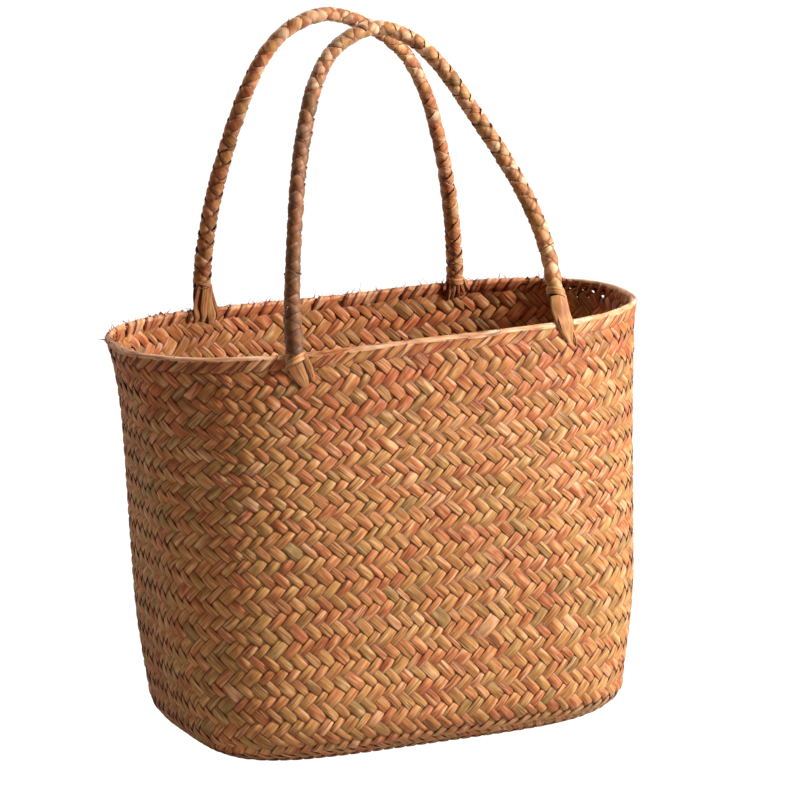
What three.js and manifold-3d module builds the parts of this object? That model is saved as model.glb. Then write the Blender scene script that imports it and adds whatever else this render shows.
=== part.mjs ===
// A straw basket bag: one soft woven basket with a folded rim and two arched, wrapped handles.
// Millimetres. The basket stands on z = 0, +X is its right end and -Y is its front.

import * as THREE from 'three';
import { mergeVertices } from 'three/addons/utils/BufferGeometryUtils.js';
import Module from 'manifold-3d';

const wasm = await Module();
wasm.setup();

// Basket: outer sizes at the mouth, and the wall
const MOUTH_LENGTH = 340;
const MOUTH_DEPTH = 176;
const BODY_HEIGHT = 258;
const WALL = 2.6;
const BASE_ROUND_IN = 45;
const BASE_ROUND_UP = 28;
const BODY_LEAN = 1.8;
const BASE_SHIFT = 4;

// Rim: the folded strips over the top edge of the wall
const RIM_STRIP = 1.3;
const RIM_DROP_OUTSIDE = 8;
const RIM_DROP_INSIDE = 6.5;

// Handles: two wrapped arches that stand on the long walls and lean over the mouth
const HANDLE_THICKNESS = 10.4;
const CROWN_THICKNESS = 9.2;
const FRONT_SPAN = 174;
const FRONT_RISE = 192.5;
const FRONT_TILT_DEGREES = 22;
const FRONT_SHIFT = 3.7;
const BACK_SPAN = 171.5;
const BACK_RISE = 181;
const BACK_TILT_DEGREES = 7.5;
const BACK_SHIFT = 1.8;

// Feet: the split ends of the handle cores over the rim
const FOOT_NECK = 12;
const TONGUE_LENGTH = 19;
const TONGUE_SLANT = 5;
const FAN_LENGTH = 11;
const FOOT_STRIP = 1.8;

// Pieces that touch keep this much air between them
const CLEARANCE = 0.3;

// How finely the curved pieces are faceted
const AROUND_BASKET = 64;
const AROUND_HANDLE = 10;
const STEPS_ALONG_HANDLE = 40;
const STEPS_ALONG_NECK = 4;
const STEPS_DOWN_STRIP = 4;
const ROUNDING_STEPS = 5;
const OUTLINE_SAMPLES = 90;

// Shape of the wall from the top of the base's rounding (0) to the rim (1). length and depth are
// shares of the wall's own at the mouth, and power is the outline's squareness: 2 is an ellipse,
// more is boxier. lean is the share of BODY_LEAN that the section lies to the right of the mouth.
const BODY_SECTIONS = [
  { height: 0.000, length: 0.850, depth: 1.008, power: 3.95, lean: 0.50 },
  { height: 0.213, length: 0.900, depth: 1.010, power: 3.61, lean: 1.00 },
  { height: 0.438, length: 0.920, depth: 1.030, power: 3.26, lean: 0.89 },
  { height: 0.663, length: 0.938, depth: 1.036, power: 2.90, lean: 0.86 },
  { height: 0.798, length: 0.955, depth: 1.024, power: 2.68, lean: 0.94 },
  { height: 0.899, length: 0.973, depth: 1.014, power: 2.52, lean: 0.64 },
  { height: 1.000, length: 1.000, depth: 1.000, power: 2.36, lean: 0.00 },
];

// The mouth isn't quite level: it rises and falls in a few slow waves round the rim, as shares
// of the basket's height. The turn runs from the right end, past the back.
const RIM_WAVES = [
  { waves: 1, cosine: 0.0047, sine: 0.0036 },
  { waves: 2, cosine: 0.0012, sine: -0.0014 },
  { waves: 3, cosine: -0.0003, sine: 0.0054 },
];

// Arches as seen square to their plane, from the rim (0) to the crown (1). left and right are the
// two legs' distances from the handle's middle, as shares of half the span.
const FRONT_ARCH = [
  { up: 0.00, left: 1.000, right: 1.000 },
  { up: 0.13, left: 0.965, right: 1.002 },
  { up: 0.27, left: 0.905, right: 0.985 },
  { up: 0.42, left: 0.828, right: 0.902 },
  { up: 0.57, left: 0.740, right: 0.766 },
  { up: 0.72, left: 0.626, right: 0.605 },
  { up: 0.85, left: 0.495, right: 0.455 },
  { up: 0.95, left: 0.304, right: 0.271 },
];
const BACK_ARCH = [
  { up: 0.00, left: 1.000, right: 1.000 },
  { up: 0.13, left: 0.998, right: 0.982 },
  { up: 0.27, left: 0.968, right: 0.947 },
  { up: 0.42, left: 0.905, right: 0.890 },
  { up: 0.57, left: 0.815, right: 0.812 },
  { up: 0.72, left: 0.705, right: 0.700 },
  { up: 0.85, left: 0.574, right: 0.531 },
  { up: 0.95, left: 0.385, right: 0.250 },
];
const FRONT_CROWN = 0.01;
const BACK_CROWN = -0.09;

// The neck of a foot, from the handle (0) down to the rim (1), as shares of the handle's radius
const NECK_FORM = [
  { down: 0.0, along: 1.00, across: 1.00 },
  { down: 0.5, along: 1.10, across: 1.05 },
  { down: 1.0, along: 1.38, across: 1.12 },
  { down: 1.3, along: 1.40, across: 1.05 },
];

// Widths of the two strips of a foot down the wall, as shares of the handle's thickness
const TONGUE_FORM = [
  { down: 0.0, width: 1.25 },
  { down: 0.5, width: 1.00 },
  { down: 1.0, width: 0.40 },
];
const FAN_FORM = [
  { down: 0.0, width: 1.30 },
  { down: 0.5, width: 1.70 },
  { down: 1.0, width: 2.10 },
];

const STRAW = new THREE.MeshStandardMaterial({ color: 0xc08350, roughness: 0.62, metalness: 0 });
const RIM_STRAW = new THREE.MeshStandardMaterial({ color: 0xb8703f, roughness: 0.65, metalness: 0 });
const WRAP_STRAW = new THREE.MeshStandardMaterial({ color: 0xb07a4a, roughness: 0.58, metalness: 0 });

const HALF_PI = Math.PI / 2;
const UP = new THREE.Vector3(0, 0, 1);

// Reads a table at a place between its rows, on straight lines from row to row.
function tableAt(table, key, place) {
  const columns = Object.keys(table[0]);
  let row = 1;
  while (row < table.length - 1 && table[row][key] < place) row += 1;
  const low = table[row - 1];
  const high = table[row];
  const share = (place - low[key]) / (high[key] - low[key]);
  const value = {};
  for (const column of columns) value[column] = low[column] + (high[column] - low[column]) * share;
  return value;
}

// Half sizes of the wall's outer outline at a share of its height, drawn in by inset. At the
// mouth, the rim's strip lies outside it.
function sectionAt(share, inset = 0) {
  const row = tableAt(BODY_SECTIONS, 'height', share);
  const rimOverWall = CLEARANCE + RIM_STRIP;
  return {
    length: row.length * (MOUTH_LENGTH / 2 - rimOverWall) - inset,
    depth: row.depth * (MOUTH_DEPTH / 2 - rimOverWall) - inset,
    power: row.power,
    lean: row.lean * BODY_LEAN,
  };
}

// Height of the rim above or below its mean, at a share of the way round the mouth.
function rimWave(turn) {
  let sum = 0;
  for (const { waves, cosine, sine } of RIM_WAVES) {
    const angle = 2 * Math.PI * waves * turn;
    sum += cosine * Math.cos(angle) + sine * Math.sin(angle);
  }
  return sum * BODY_HEIGHT;
}

// One quarter of an outline, in even steps of length from the X axis to the Y axis.
function quarterOutline(section, steps) {
  const dense = [];
  for (let i = 0; i <= OUTLINE_SAMPLES; i += 1) {
    const angle = HALF_PI * i / OUTLINE_SAMPLES;
    const x = section.length * Math.cos(angle) ** (2 / section.power);
    const y = section.depth * Math.sin(angle) ** (2 / section.power);
    dense.push(new THREE.Vector2(i === OUTLINE_SAMPLES ? 0 : x, y));
  }
  const lengths = [0];
  for (let i = 1; i < dense.length; i += 1) {
    lengths.push(lengths[i - 1] + dense[i].distanceTo(dense[i - 1]));
  }
  const total = lengths[lengths.length - 1];
  const points = [];
  let i = 1;
  for (let step = 0; step <= steps; step += 1) {
    const wanted = total * step / steps;
    while (i < dense.length - 1 && lengths[i] < wanted) i += 1;
    const share = (wanted - lengths[i - 1]) / (lengths[i] - lengths[i - 1]);
    points.push(dense[i - 1].clone().lerp(dense[i], share));
  }
  return points;
}

// Direction square to an outline in plan, pointing out of the basket.
function outlineNormal(section, x, y) {
  const along = Math.sign(x) * Math.abs(x / section.length) ** (section.power - 1) / section.length;
  const across = Math.sign(y) * Math.abs(y / section.depth) ** (section.power - 1) / section.depth;
  return new THREE.Vector2(along, across).normalize();
}

// Distance of an outline from the X axis at a place along it.
function outlineDepth(section, x) {
  return section.depth * (1 - Math.abs(x / section.length) ** section.power) ** (1 / section.power);
}

// A whole outline: points all round with their outward directions, from the right end past the
// back. Every section has its points at the same shares of the way round.
function outline(section) {
  const steps = AROUND_BASKET / 4;
  const quarter = quarterOutline(section, steps);
  const mirrored = [];
  for (let i = 0; i < steps; i += 1) mirrored.push(quarter[i].clone());
  for (let i = steps; i > 0; i -= 1) mirrored.push(new THREE.Vector2(-quarter[i].x, quarter[i].y));
  for (let i = 0; i < steps; i += 1) mirrored.push(new THREE.Vector2(-quarter[i].x, -quarter[i].y));
  for (let i = steps; i > 0; i -= 1) mirrored.push(new THREE.Vector2(quarter[i].x, -quarter[i].y));
  return mirrored.map((point, i) => ({
    point: new THREE.Vector2(point.x + section.lean, point.y),
    normal: outlineNormal(section, point.x, point.y),
    turn: i / AROUND_BASKET,
  }));
}

// Share of the wall's height at a drop below the rim.
function shareBelowRim(drop) {
  return 1 - drop / (BODY_HEIGHT - BASE_ROUND_UP);
}

// Height of a share of the wall; the rim's waves die away down the wall.
function wallHeight(share, turn) {
  const level = BASE_ROUND_UP + (BODY_HEIGHT - BASE_ROUND_UP) * share;
  return level + rimWave(turn) * share ** 2;
}

// A ring of points on the wall at a share of its height, moved out by outset.
function wallRing(share, outset) {
  return outline(sectionAt(share)).map(({ point, normal, turn }) => new THREE.Vector3(
    point.x + normal.x * outset,
    point.y + normal.y * outset,
    wallHeight(share, turn),
  ));
}

// A ring on the rounded edge of the base: step 0 lies on the floor, and the last meets the wall.
function baseRing(step, thickness) {
  const angle = HALF_PI * (1 - step / ROUNDING_STEPS);
  const inset = thickness + (BASE_ROUND_IN - thickness) * (1 - Math.cos(angle));
  const height = thickness + (BASE_ROUND_UP - thickness) * (1 - Math.sin(angle));
  const shift = BASE_SHIFT * (1 - height / BASE_ROUND_UP);
  return outline(sectionAt(0, inset))
    .map(({ point }) => new THREE.Vector3(point.x + shift, point.y, height));
}

// Triangles between rings of points; the ends are closed by a fan, or the last ring meets the
// first again.
function loft(rings, joined = false) {
  const count = rings[0].length;
  const positions = rings.flat().flatMap((point) => point.toArray());
  const index = [];
  const strips = joined ? rings.length : rings.length - 1;
  for (let ring = 0; ring < strips; ring += 1) {
    const low = ring * count;
    const high = ((ring + 1) % rings.length) * count;
    for (let i = 0; i < count; i += 1) {
      const j = (i + 1) % count;
      index.push(low + i, low + j, high + j, low + i, high + j, high + i);
    }
  }
  if (!joined) {
    for (const ring of [0, rings.length - 1]) {
      const middle = rings[ring].reduce((sum, point) => sum.add(point), new THREE.Vector3());
      const hub = positions.length / 3;
      positions.push(...middle.divideScalar(count).toArray());
      for (let i = 0; i < count; i += 1) {
        const a = ring * count + i;
        const b = ring * count + (i + 1) % count;
        index.push(...(ring === 0 ? [hub, b, a] : [hub, a, b]));
      }
    }
  }
  return facingOut(positions, index);
}

// A geometry whose faces all point out of the solid.
function facingOut(positions, index) {
  let volume = 0;
  const corner = (k) => new THREE.Vector3().fromArray(positions, 3 * k);
  for (let i = 0; i < index.length; i += 3) {
    volume += corner(index[i]).dot(corner(index[i + 1]).cross(corner(index[i + 2])));
  }
  const ordered = volume > 0 ? index : index.slice().reverse();
  const geometry = new THREE.BufferGeometry();
  geometry.setAttribute('position', new THREE.Float32BufferAttribute(positions, 3));
  geometry.setIndex(ordered);
  return geometry;
}

function toSolid(geometry) {
  const merged = mergeVertices(geometry);
  return new wasm.Manifold(new wasm.Mesh({
    numProp: 3,
    vertProperties: new Float32Array(merged.attributes.position.array),
    triVerts: new Uint32Array(merged.index.array),
  }));
}

function toGeometry(solid) {
  const mesh = solid.getMesh();
  const geometry = new THREE.BufferGeometry();
  geometry.setAttribute('position', new THREE.Float32BufferAttribute(mesh.vertProperties, 3));
  geometry.setIndex(Array.from(mesh.triVerts));
  return geometry;
}

// The woven basket: up the outer face, over the top edge under the rim, and down the inner face.
function wovenBody() {
  const topShare = shareBelowRim(RIM_STRIP + CLEARANCE);
  const shares = BODY_SECTIONS.slice(1, -1).map((row) => row.height);
  const outer = [];
  for (let step = 0; step <= ROUNDING_STEPS; step += 1) outer.push(baseRing(step, 0));
  for (const share of [...shares, topShare]) outer.push(wallRing(share, 0));
  const inner = [];
  for (const share of [topShare, ...shares.reverse()]) inner.push(wallRing(share, -WALL));
  for (let step = ROUNDING_STEPS; step >= 0; step -= 1) inner.push(baseRing(step, WALL));
  return loft([...outer, ...inner]);
}

// A closed band round the top of the wall, from a profile of outsets from the wall's outer face
// and drops below the rim.
function bandRoundMouth(profile) {
  return loft(profile.map(({ outset, drop }) => wallRing(shareBelowRim(drop), outset)), true);
}

// The rim's section: a folded strip over both faces and the top edge of the wall.
function rimProfile(grow) {
  const outerFace = CLEARANCE + RIM_STRIP + grow;
  const innerFace = -WALL - CLEARANCE - RIM_STRIP - grow;
  const bevel = RIM_STRIP / 2;
  const legOut = CLEARANCE - grow;
  const legIn = -WALL - CLEARANCE + grow;
  return [
    { outset: legOut, drop: RIM_DROP_OUTSIDE + grow },
    { outset: outerFace, drop: RIM_DROP_OUTSIDE + grow },
    { outset: outerFace, drop: bevel - grow },
    { outset: outerFace - bevel, drop: -grow },
    { outset: innerFace + bevel, drop: -grow },
    { outset: innerFace, drop: bevel - grow },
    { outset: innerFace, drop: RIM_DROP_INSIDE + grow },
    { outset: legIn, drop: RIM_DROP_INSIDE + grow },
    { outset: legIn, drop: RIM_STRIP + grow },
    { outset: legOut, drop: RIM_STRIP + grow },
  ];
}

// The room that the wall and the rim take up, with the clearance round them.
function edgeWithClearance() {
  const depth = RIM_STRIP + TONGUE_LENGTH + FAN_LENGTH;
  const wall = bandRoundMouth([
    { outset: CLEARANCE, drop: depth },
    { outset: CLEARANCE, drop: RIM_STRIP },
    { outset: -WALL - CLEARANCE, drop: RIM_STRIP },
    { outset: -WALL - CLEARANCE, drop: depth },
  ]);
  return toSolid(wall).add(toSolid(bandRoundMouth(rimProfile(CLEARANCE))));
}

// Height of the rim over a place at the mouth.
function rimHeight(x, y) {
  const place = new THREE.Vector2(x, y);
  const away = ({ point }) => point.distanceTo(place);
  const nearest = outline(sectionAt(1)).reduce((best, next) => (away(next) < away(best) ? next : best));
  return BODY_HEIGHT + rimWave(nearest.turn);
}

// Where an end of a handle stands: the middle of the wall's thickness at the mouth.
function standingPoint({ wall, span, shift }, side) {
  const mouth = sectionAt(1);
  const x = shift + side * span / 2;
  const y = wall * outlineDepth(mouth, x);
  const normal = outlineNormal(mouth, x, y);
  return new THREE.Vector3(x - normal.x * WALL / 2, y - normal.y * WALL / 2, rimHeight(x, y));
}

// The middle line of a handle: an arch in a plane that leans over the mouth.
function handleLine(handle) {
  const { wall, rise, lean, arch, crown } = handle;
  const left = standingPoint(handle, -1);
  const right = standingPoint(handle, 1);
  const middle = left.clone().lerp(right, 0.5);
  const half = right.clone().sub(left).divideScalar(2);
  const tilt = THREE.MathUtils.degToRad(lean);
  const climb = new THREE.Vector3(0, -wall * Math.sin(tilt), Math.cos(tilt));
  const place = (out, up) => middle.clone().addScaledVector(half, out).addScaledVector(climb, up * rise);
  const points = arch.map((row) => place(-row.left, row.up));
  points.push(place(crown, 1));
  for (const row of arch.slice().reverse()) points.push(place(row.right, row.up));
  return new THREE.CatmullRomCurve3(points, false, 'centripetal');
}

// An oval ring square to a curve, with one axis in the arch's plane and the other across it.
function ringOnCurve(point, tangent, across, alongRadius, acrossRadius) {
  const inPlane = new THREE.Vector3().crossVectors(across, tangent).normalize();
  const ring = [];
  for (let i = 0; i < AROUND_HANDLE; i += 1) {
    const angle = 2 * Math.PI * i / AROUND_HANDLE;
    ring.push(point.clone()
      .addScaledVector(inPlane, Math.cos(angle) * alongRadius)
      .addScaledVector(across, Math.sin(angle) * acrossRadius));
  }
  return ring;
}

// Direction square to the leaning plane of a handle.
function acrossHandle({ wall, lean }) {
  const tilt = THREE.MathUtils.degToRad(lean);
  return new THREE.Vector3(0, Math.cos(tilt), wall * Math.sin(tilt));
}

// A handle: a round bar, a little thinner at its crown than at its feet.
function wrappedHandle(handle) {
  const line = handleLine(handle);
  const start = (FOOT_NECK + CLEARANCE) / line.getLength();
  const across = acrossHandle(handle);
  const rings = [];
  for (let step = 0; step <= STEPS_ALONG_HANDLE; step += 1) {
    const share = step / STEPS_ALONG_HANDLE;
    const place = start + (1 - 2 * start) * share;
    const thinning = (HANDLE_THICKNESS - CROWN_THICKNESS) * Math.sin(Math.PI * share);
    const radius = (HANDLE_THICKNESS - thinning) / 2;
    rings.push(ringOnCurve(line.getPointAt(place), line.getTangentAt(place), across, radius, radius));
  }
  return loft(rings);
}

// The neck of a foot: round under the handle, and spread along the rim at its lower end.
function footNeck(handle, side) {
  const line = handleLine(handle);
  const length = line.getLength();
  const across = acrossHandle(handle);
  const radius = HANDLE_THICKNESS / 2;
  const rings = [];
  const lowest = NECK_FORM[NECK_FORM.length - 1].down;
  for (let step = 0; step <= STEPS_ALONG_NECK; step += 1) {
    const form = tableAt(NECK_FORM, 'down', lowest * step / STEPS_ALONG_NECK);
    const above = FOOT_NECK * (1 - form.down);
    const place = Math.max(above, 0) / length;
    const end = side < 0 ? place : 1 - place;
    const tangent = line.getTangentAt(end).multiplyScalar(-side);
    const point = line.getPointAt(end).addScaledVector(tangent, Math.min(above, 0));
    rings.push(ringOnCurve(point, tangent, across, form.along * radius, form.across * radius));
  }
  return loft(rings);
}

// A flat strip of a foot down one face of the wall: 1 is the outer face, and -1 the inner.
function footStrip(handle, side, face, length, slant, form) {
  const stand = standingPoint(handle, side);
  const proud = (face < 0 ? WALL : 0) + CLEARANCE * 2 + RIM_STRIP + FOOT_STRIP;
  const shoulder = proud - FOOT_STRIP / 2;
  const root = (face < 0 ? WALL : -WALL) / 2;
  const rings = [];
  for (let step = 0; step <= STEPS_DOWN_STRIP; step += 1) {
    const down = step / STEPS_DOWN_STRIP;
    const drop = down * length - FOOT_STRIP * (1 - down);
    const section = sectionAt(Math.min(shareBelowRim(drop), 1));
    const x = stand.x + slant * down - section.lean;
    const y = handle.wall * outlineDepth(section, x);
    const normal = outlineNormal(section, x, y);
    const tangent = new THREE.Vector2(-normal.y, normal.x);
    const half = tableAt(form, 'down', down).width * HANDLE_THICKNESS / 2;
    const flat = half - FOOT_STRIP / 2;
    const corners = [
      { aside: -half, out: root },
      { aside: -half, out: shoulder },
      { aside: -flat, out: proud },
      { aside: flat, out: proud },
      { aside: half, out: shoulder },
      { aside: half, out: root },
    ];
    rings.push(corners.map(({ aside, out }) => new THREE.Vector3(
      x + section.lean + tangent.x * aside + normal.x * out * face,
      y + tangent.y * aside + normal.y * out * face,
      stand.z - drop,
    )));
  }
  return loft(rings);
}

// A foot: the neck, the tongue down the outer face and the fan down the inner face, as one piece
// with a slot for the rim and the wall.
function handleFoot(handle, side, edge) {
  const slant = TONGUE_SLANT * -handle.wall;
  const tongue = footStrip(handle, side, 1, TONGUE_LENGTH, slant, TONGUE_FORM);
  const fan = footStrip(handle, side, -1, FAN_LENGTH, 0, FAN_FORM);
  const whole = toSolid(footNeck(handle, side)).add(toSolid(tongue)).add(toSolid(fan));
  return toGeometry(whole.subtract(edge));
}

function piece(name, geometry, material) {
  const mesh = new THREE.Mesh(geometry, material);
  mesh.name = name;
  return mesh;
}

const HANDLES = [
  {
    name: 'front',
    wall: -1,
    span: FRONT_SPAN,
    rise: FRONT_RISE,
    lean: FRONT_TILT_DEGREES,
    shift: FRONT_SHIFT,
    arch: FRONT_ARCH,
    crown: FRONT_CROWN,
  },
  {
    name: 'back',
    wall: 1,
    span: BACK_SPAN,
    rise: BACK_RISE,
    lean: BACK_TILT_DEGREES,
    shift: BACK_SHIFT,
    arch: BACK_ARCH,
    crown: BACK_CROWN,
  },
];

const bag = new THREE.Group();
bag.add(piece('woven_body', wovenBody(), STRAW));
bag.add(piece('rim_binding', bandRoundMouth(rimProfile(0)), RIM_STRAW));
const edge = edgeWithClearance();
for (const handle of HANDLES) {
  bag.add(piece(`${handle.name}_handle`, wrappedHandle(handle), WRAP_STRAW));
  for (const [sideName, side] of [['left', -1], ['right', 1]]) {
    bag.add(piece(`${handle.name}_${sideName}_foot`, handleFoot(handle, side, edge), WRAP_STRAW));
  }
}

export default bag;
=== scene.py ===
"""A straw basket bag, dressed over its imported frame. Metres, +Z up, the bag's front faces -Y."""

import math

import bpy
import numpy as np
from mathutils import Matrix, Vector


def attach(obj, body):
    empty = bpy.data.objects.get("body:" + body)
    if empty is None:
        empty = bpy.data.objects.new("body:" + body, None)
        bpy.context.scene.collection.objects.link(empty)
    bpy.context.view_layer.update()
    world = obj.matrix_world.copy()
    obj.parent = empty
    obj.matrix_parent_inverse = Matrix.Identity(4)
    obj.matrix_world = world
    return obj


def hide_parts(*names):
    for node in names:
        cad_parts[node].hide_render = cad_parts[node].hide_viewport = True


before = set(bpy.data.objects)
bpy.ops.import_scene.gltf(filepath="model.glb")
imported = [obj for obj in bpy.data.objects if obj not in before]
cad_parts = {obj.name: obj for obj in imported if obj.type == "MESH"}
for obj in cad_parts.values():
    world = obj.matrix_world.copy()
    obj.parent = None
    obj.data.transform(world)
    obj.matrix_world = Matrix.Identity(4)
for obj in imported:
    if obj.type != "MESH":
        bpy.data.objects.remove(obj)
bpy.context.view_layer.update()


# Studio. A long lens a little above the bag and to its left, a soft light from the right and weak
# ones from the left and from behind, over a plain white floor.

CAMERA_AZIMUTH = math.radians(-22.22)
CAMERA_ELEVATION = math.radians(12.48)
CAMERA_ROLL = math.radians(-1.70)
CAMERA_DISTANCE = 2.673
CAMERA_TARGET = Vector((0.0017, 0.0, 0.1552))
FOCAL_LENGTH_MM = 195.2
VIEW_SHIFT = (0.0227, 0.1011)
FLOOR_REACH = 14.0
FLOOR_DROP = 0.001
FLOOR_COLOUR = (0.55, 0.52, 0.48, 1)
FLOOR_GLOW = 1.2
FLOOR_GLOW_SHARE = 0.90
ROOM_COLOUR = (1.0, 0.86, 0.74, 1)
ROOM_STRENGTH = 0.06
# Each light's azimuth and elevation in degrees, distance, width, power and colour
LIGHTS = {
    "key": (56, 28.5, 2.2, 0.4, 90, (1.0, 0.98, 0.92)),
    "fill": (-72, 50, 2.2, 0.5, 6.4, (1.0, 0.80, 0.70)),
    "back": (192, 42, 2.2, 1.2, 22, (1.0, 0.94, 0.86)),
}


def direction_from(azimuth, elevation):
    """Direction to a place round the bag: azimuth 0 is its front, and more is to its right."""
    level = math.cos(elevation)
    return Vector((math.sin(azimuth) * level, -math.cos(azimuth) * level, math.sin(elevation)))


def add_camera():
    """The camera at the photograph's viewing angle, turned a little about its own line of sight."""
    back = direction_from(CAMERA_AZIMUTH, CAMERA_ELEVATION)
    right = (-back).cross(Vector((0, 0, 1))).normalized()
    up = right.cross(-back)
    rolled_right = right * math.cos(CAMERA_ROLL) + up * math.sin(CAMERA_ROLL)
    rolled_up = up * math.cos(CAMERA_ROLL) - right * math.sin(CAMERA_ROLL)
    turned = Matrix((rolled_right, rolled_up, back)).transposed().to_4x4()
    camera = bpy.data.objects.new("camera", bpy.data.cameras.new("camera"))
    camera.matrix_world = Matrix.Translation(CAMERA_TARGET + back * CAMERA_DISTANCE) @ turned
    camera.data.lens = FOCAL_LENGTH_MM
    camera.data.shift_x, camera.data.shift_y = VIEW_SHIFT
    camera.data.clip_end = 60
    bpy.context.scene.collection.objects.link(camera)
    bpy.context.scene.camera = camera


def add_soft_light(name, azimuth, elevation, distance, size, power, colour):
    """A round soft light that faces the bag."""
    lamp = bpy.data.lights.new(name, "AREA")
    lamp.shape = "DISK"
    lamp.size = size
    lamp.energy = power
    lamp.color = colour
    light = bpy.data.objects.new(name, lamp)
    away = direction_from(math.radians(azimuth), math.radians(elevation))
    light.matrix_world = (
        Matrix.Translation(CAMERA_TARGET + away * distance)
        @ away.to_track_quat("Z", "Y").to_matrix().to_4x4()
    )
    bpy.context.scene.collection.objects.link(light)


def white_room():
    """White all round, which lights the bag a little from every side."""
    world = bpy.data.worlds.new("white_room")
    world.use_nodes = True
    nodes, links = world.node_tree.nodes, world.node_tree.links
    seen = nodes.new("ShaderNodeBackground")
    seen.inputs["Color"].default_value = (1, 1, 1, 1)
    seen.inputs["Strength"].default_value = 1.0
    lighting = nodes["Background"]
    lighting.inputs["Color"].default_value = ROOM_COLOUR
    lighting.inputs["Strength"].default_value = ROOM_STRENGTH
    path = nodes.new("ShaderNodeLightPath")
    mix = nodes.new("ShaderNodeMixShader")
    links.new(path.outputs["Is Camera Ray"], mix.inputs["Fac"])
    links.new(lighting.outputs["Background"], mix.inputs[1])
    links.new(seen.outputs["Background"], mix.inputs[2])
    links.new(mix.outputs["Shader"], nodes["World Output"].inputs["Surface"])
    bpy.context.scene.world = world


def add_floor():
    """A white floor that shows only the bag's soft shadow."""
    mesh = bpy.data.meshes.new("floor")
    reach = FLOOR_REACH
    corners = [(-reach, -reach, 0), (reach, -reach, 0), (reach, reach, 0), (-reach, reach, 0)]
    mesh.from_pydata(corners, [], [(0, 1, 2, 3)])
    material = bpy.data.materials.new("white_floor")
    material.use_nodes = True
    nodes, links = material.node_tree.nodes, material.node_tree.links
    paint = nodes["Principled BSDF"]
    paint.inputs["Base Color"].default_value = FLOOR_COLOUR
    paint.inputs["Roughness"].default_value = 0.9
    glow = nodes.new("ShaderNodeEmission")
    path = nodes.new("ShaderNodeLightPath")
    share = nodes.new("ShaderNodeMath")
    share.operation = "MULTIPLY"
    share.inputs[1].default_value = FLOOR_GLOW_SHARE
    mix = nodes.new("ShaderNodeMixShader")
    links.new(path.outputs["Is Camera Ray"], share.inputs[0])
    links.new(share.outputs["Value"], mix.inputs["Fac"])
    links.new(paint.outputs["BSDF"], mix.inputs[1])
    links.new(glow.outputs["Emission"], mix.inputs[2])
    links.new(mix.outputs["Shader"], nodes["Material Output"].inputs["Surface"])
    glow.inputs["Strength"].default_value = FLOOR_GLOW
    mesh.materials.append(material)
    floor = bpy.data.objects.new("floor", mesh)
    floor.location.z = -FLOOR_DROP
    bpy.context.scene.collection.objects.link(floor)


add_camera()
white_room()
add_floor()
for name, light in LIGHTS.items():
    add_soft_light(name, *light)
bpy.context.scene.view_settings.view_transform = "Standard"


# Woven basket. Flat straw strips about 6 mm wide run slantwise under the base and up the walls.
# Each goes over two others and under two, in level rows that lean one way and then the other, and
# the weave is tight up to a looser, redder band under the rim.

MOUTH_LENGTH = 0.340
MOUTH_DEPTH = 0.176
BODY_HEIGHT = 0.258
WALL = 0.0026
RIM_OVER_WALL = 0.0016
BASE_ROUND_IN = 0.045
BASE_ROUND_UP = 0.028
BODY_LEAN = 0.0018
BASE_SHIFT = 0.004

# Share of the wall's height, then the outline there: length, depth, squareness and lean
BODY_SECTIONS = np.array([
    (0.000, 0.850, 1.008, 3.95, 0.50),
    (0.213, 0.900, 1.010, 3.61, 1.00),
    (0.438, 0.920, 1.030, 3.26, 0.89),
    (0.663, 0.938, 1.036, 2.90, 0.86),
    (0.798, 0.955, 1.024, 2.68, 0.94),
    (0.899, 0.973, 1.014, 2.52, 0.64),
    (1.000, 1.000, 1.000, 2.36, 0.00),
])
# Waves round the mouth, then their cosine and sine as shares of the basket's height
RIM_WAVES = [(1, 0.0047, 0.0036), (2, 0.0012, -0.0014), (3, -0.0003, 0.0054)]

STRIPS_ROUND = 98
BASE_LONG = 33
BASE_DEEP = 16
# Rows of the weave up the wall, and the height where each of them lies
ROW_MARKS = np.array([3.52, 4.25, 8.25, 12.25, 16.25, 20.25, 24.25, 28.25, 32.25])
ROW_HEIGHTS = np.array([28.0, 34.0, 67.0, 101.0, 134.0, 165.0, 194.5, 225.0, 257.5]) / 1000
# How far up the base's rounding the weave of the base gives way to that of the wall
BASE_EDGE_ANGLE = math.radians(52)
TOP_ROW = 32
# Spacing of the grids of points on the wall and the base, in strips
CELL = 0.25

RANDOM_SEED = 7
rng = np.random.default_rng(RANDOM_SEED)


def smooth_table(places, values, at):
    """Reads a table on a smooth curve through its rows."""
    slopes = np.gradient(values, places)
    row = np.clip(np.searchsorted(places, at) - 1, 0, len(places) - 2)
    step = places[row + 1] - places[row]
    x = (at - places[row]) / step
    return (
        (2 * x**3 - 3 * x**2 + 1) * values[row]
        + (x**3 - 2 * x**2 + x) * step * slopes[row]
        + (3 * x**2 - 2 * x**3) * values[row + 1]
        + (x**3 - x**2) * step * slopes[row + 1]
    )


def section_at(share, inset):
    """Half length, half depth, squareness and lean of the wall's outline, drawn in by inset."""
    length, depth, power, lean = (
        smooth_table(BODY_SECTIONS[:, 0], BODY_SECTIONS[:, column], share) for column in range(1, 5)
    )
    half_length = length * (MOUTH_LENGTH / 2 - RIM_OVER_WALL) - inset
    half_depth = depth * (MOUTH_DEPTH / 2 - RIM_OVER_WALL) - inset
    return half_length, half_depth, power, lean * BODY_LEAN


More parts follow.
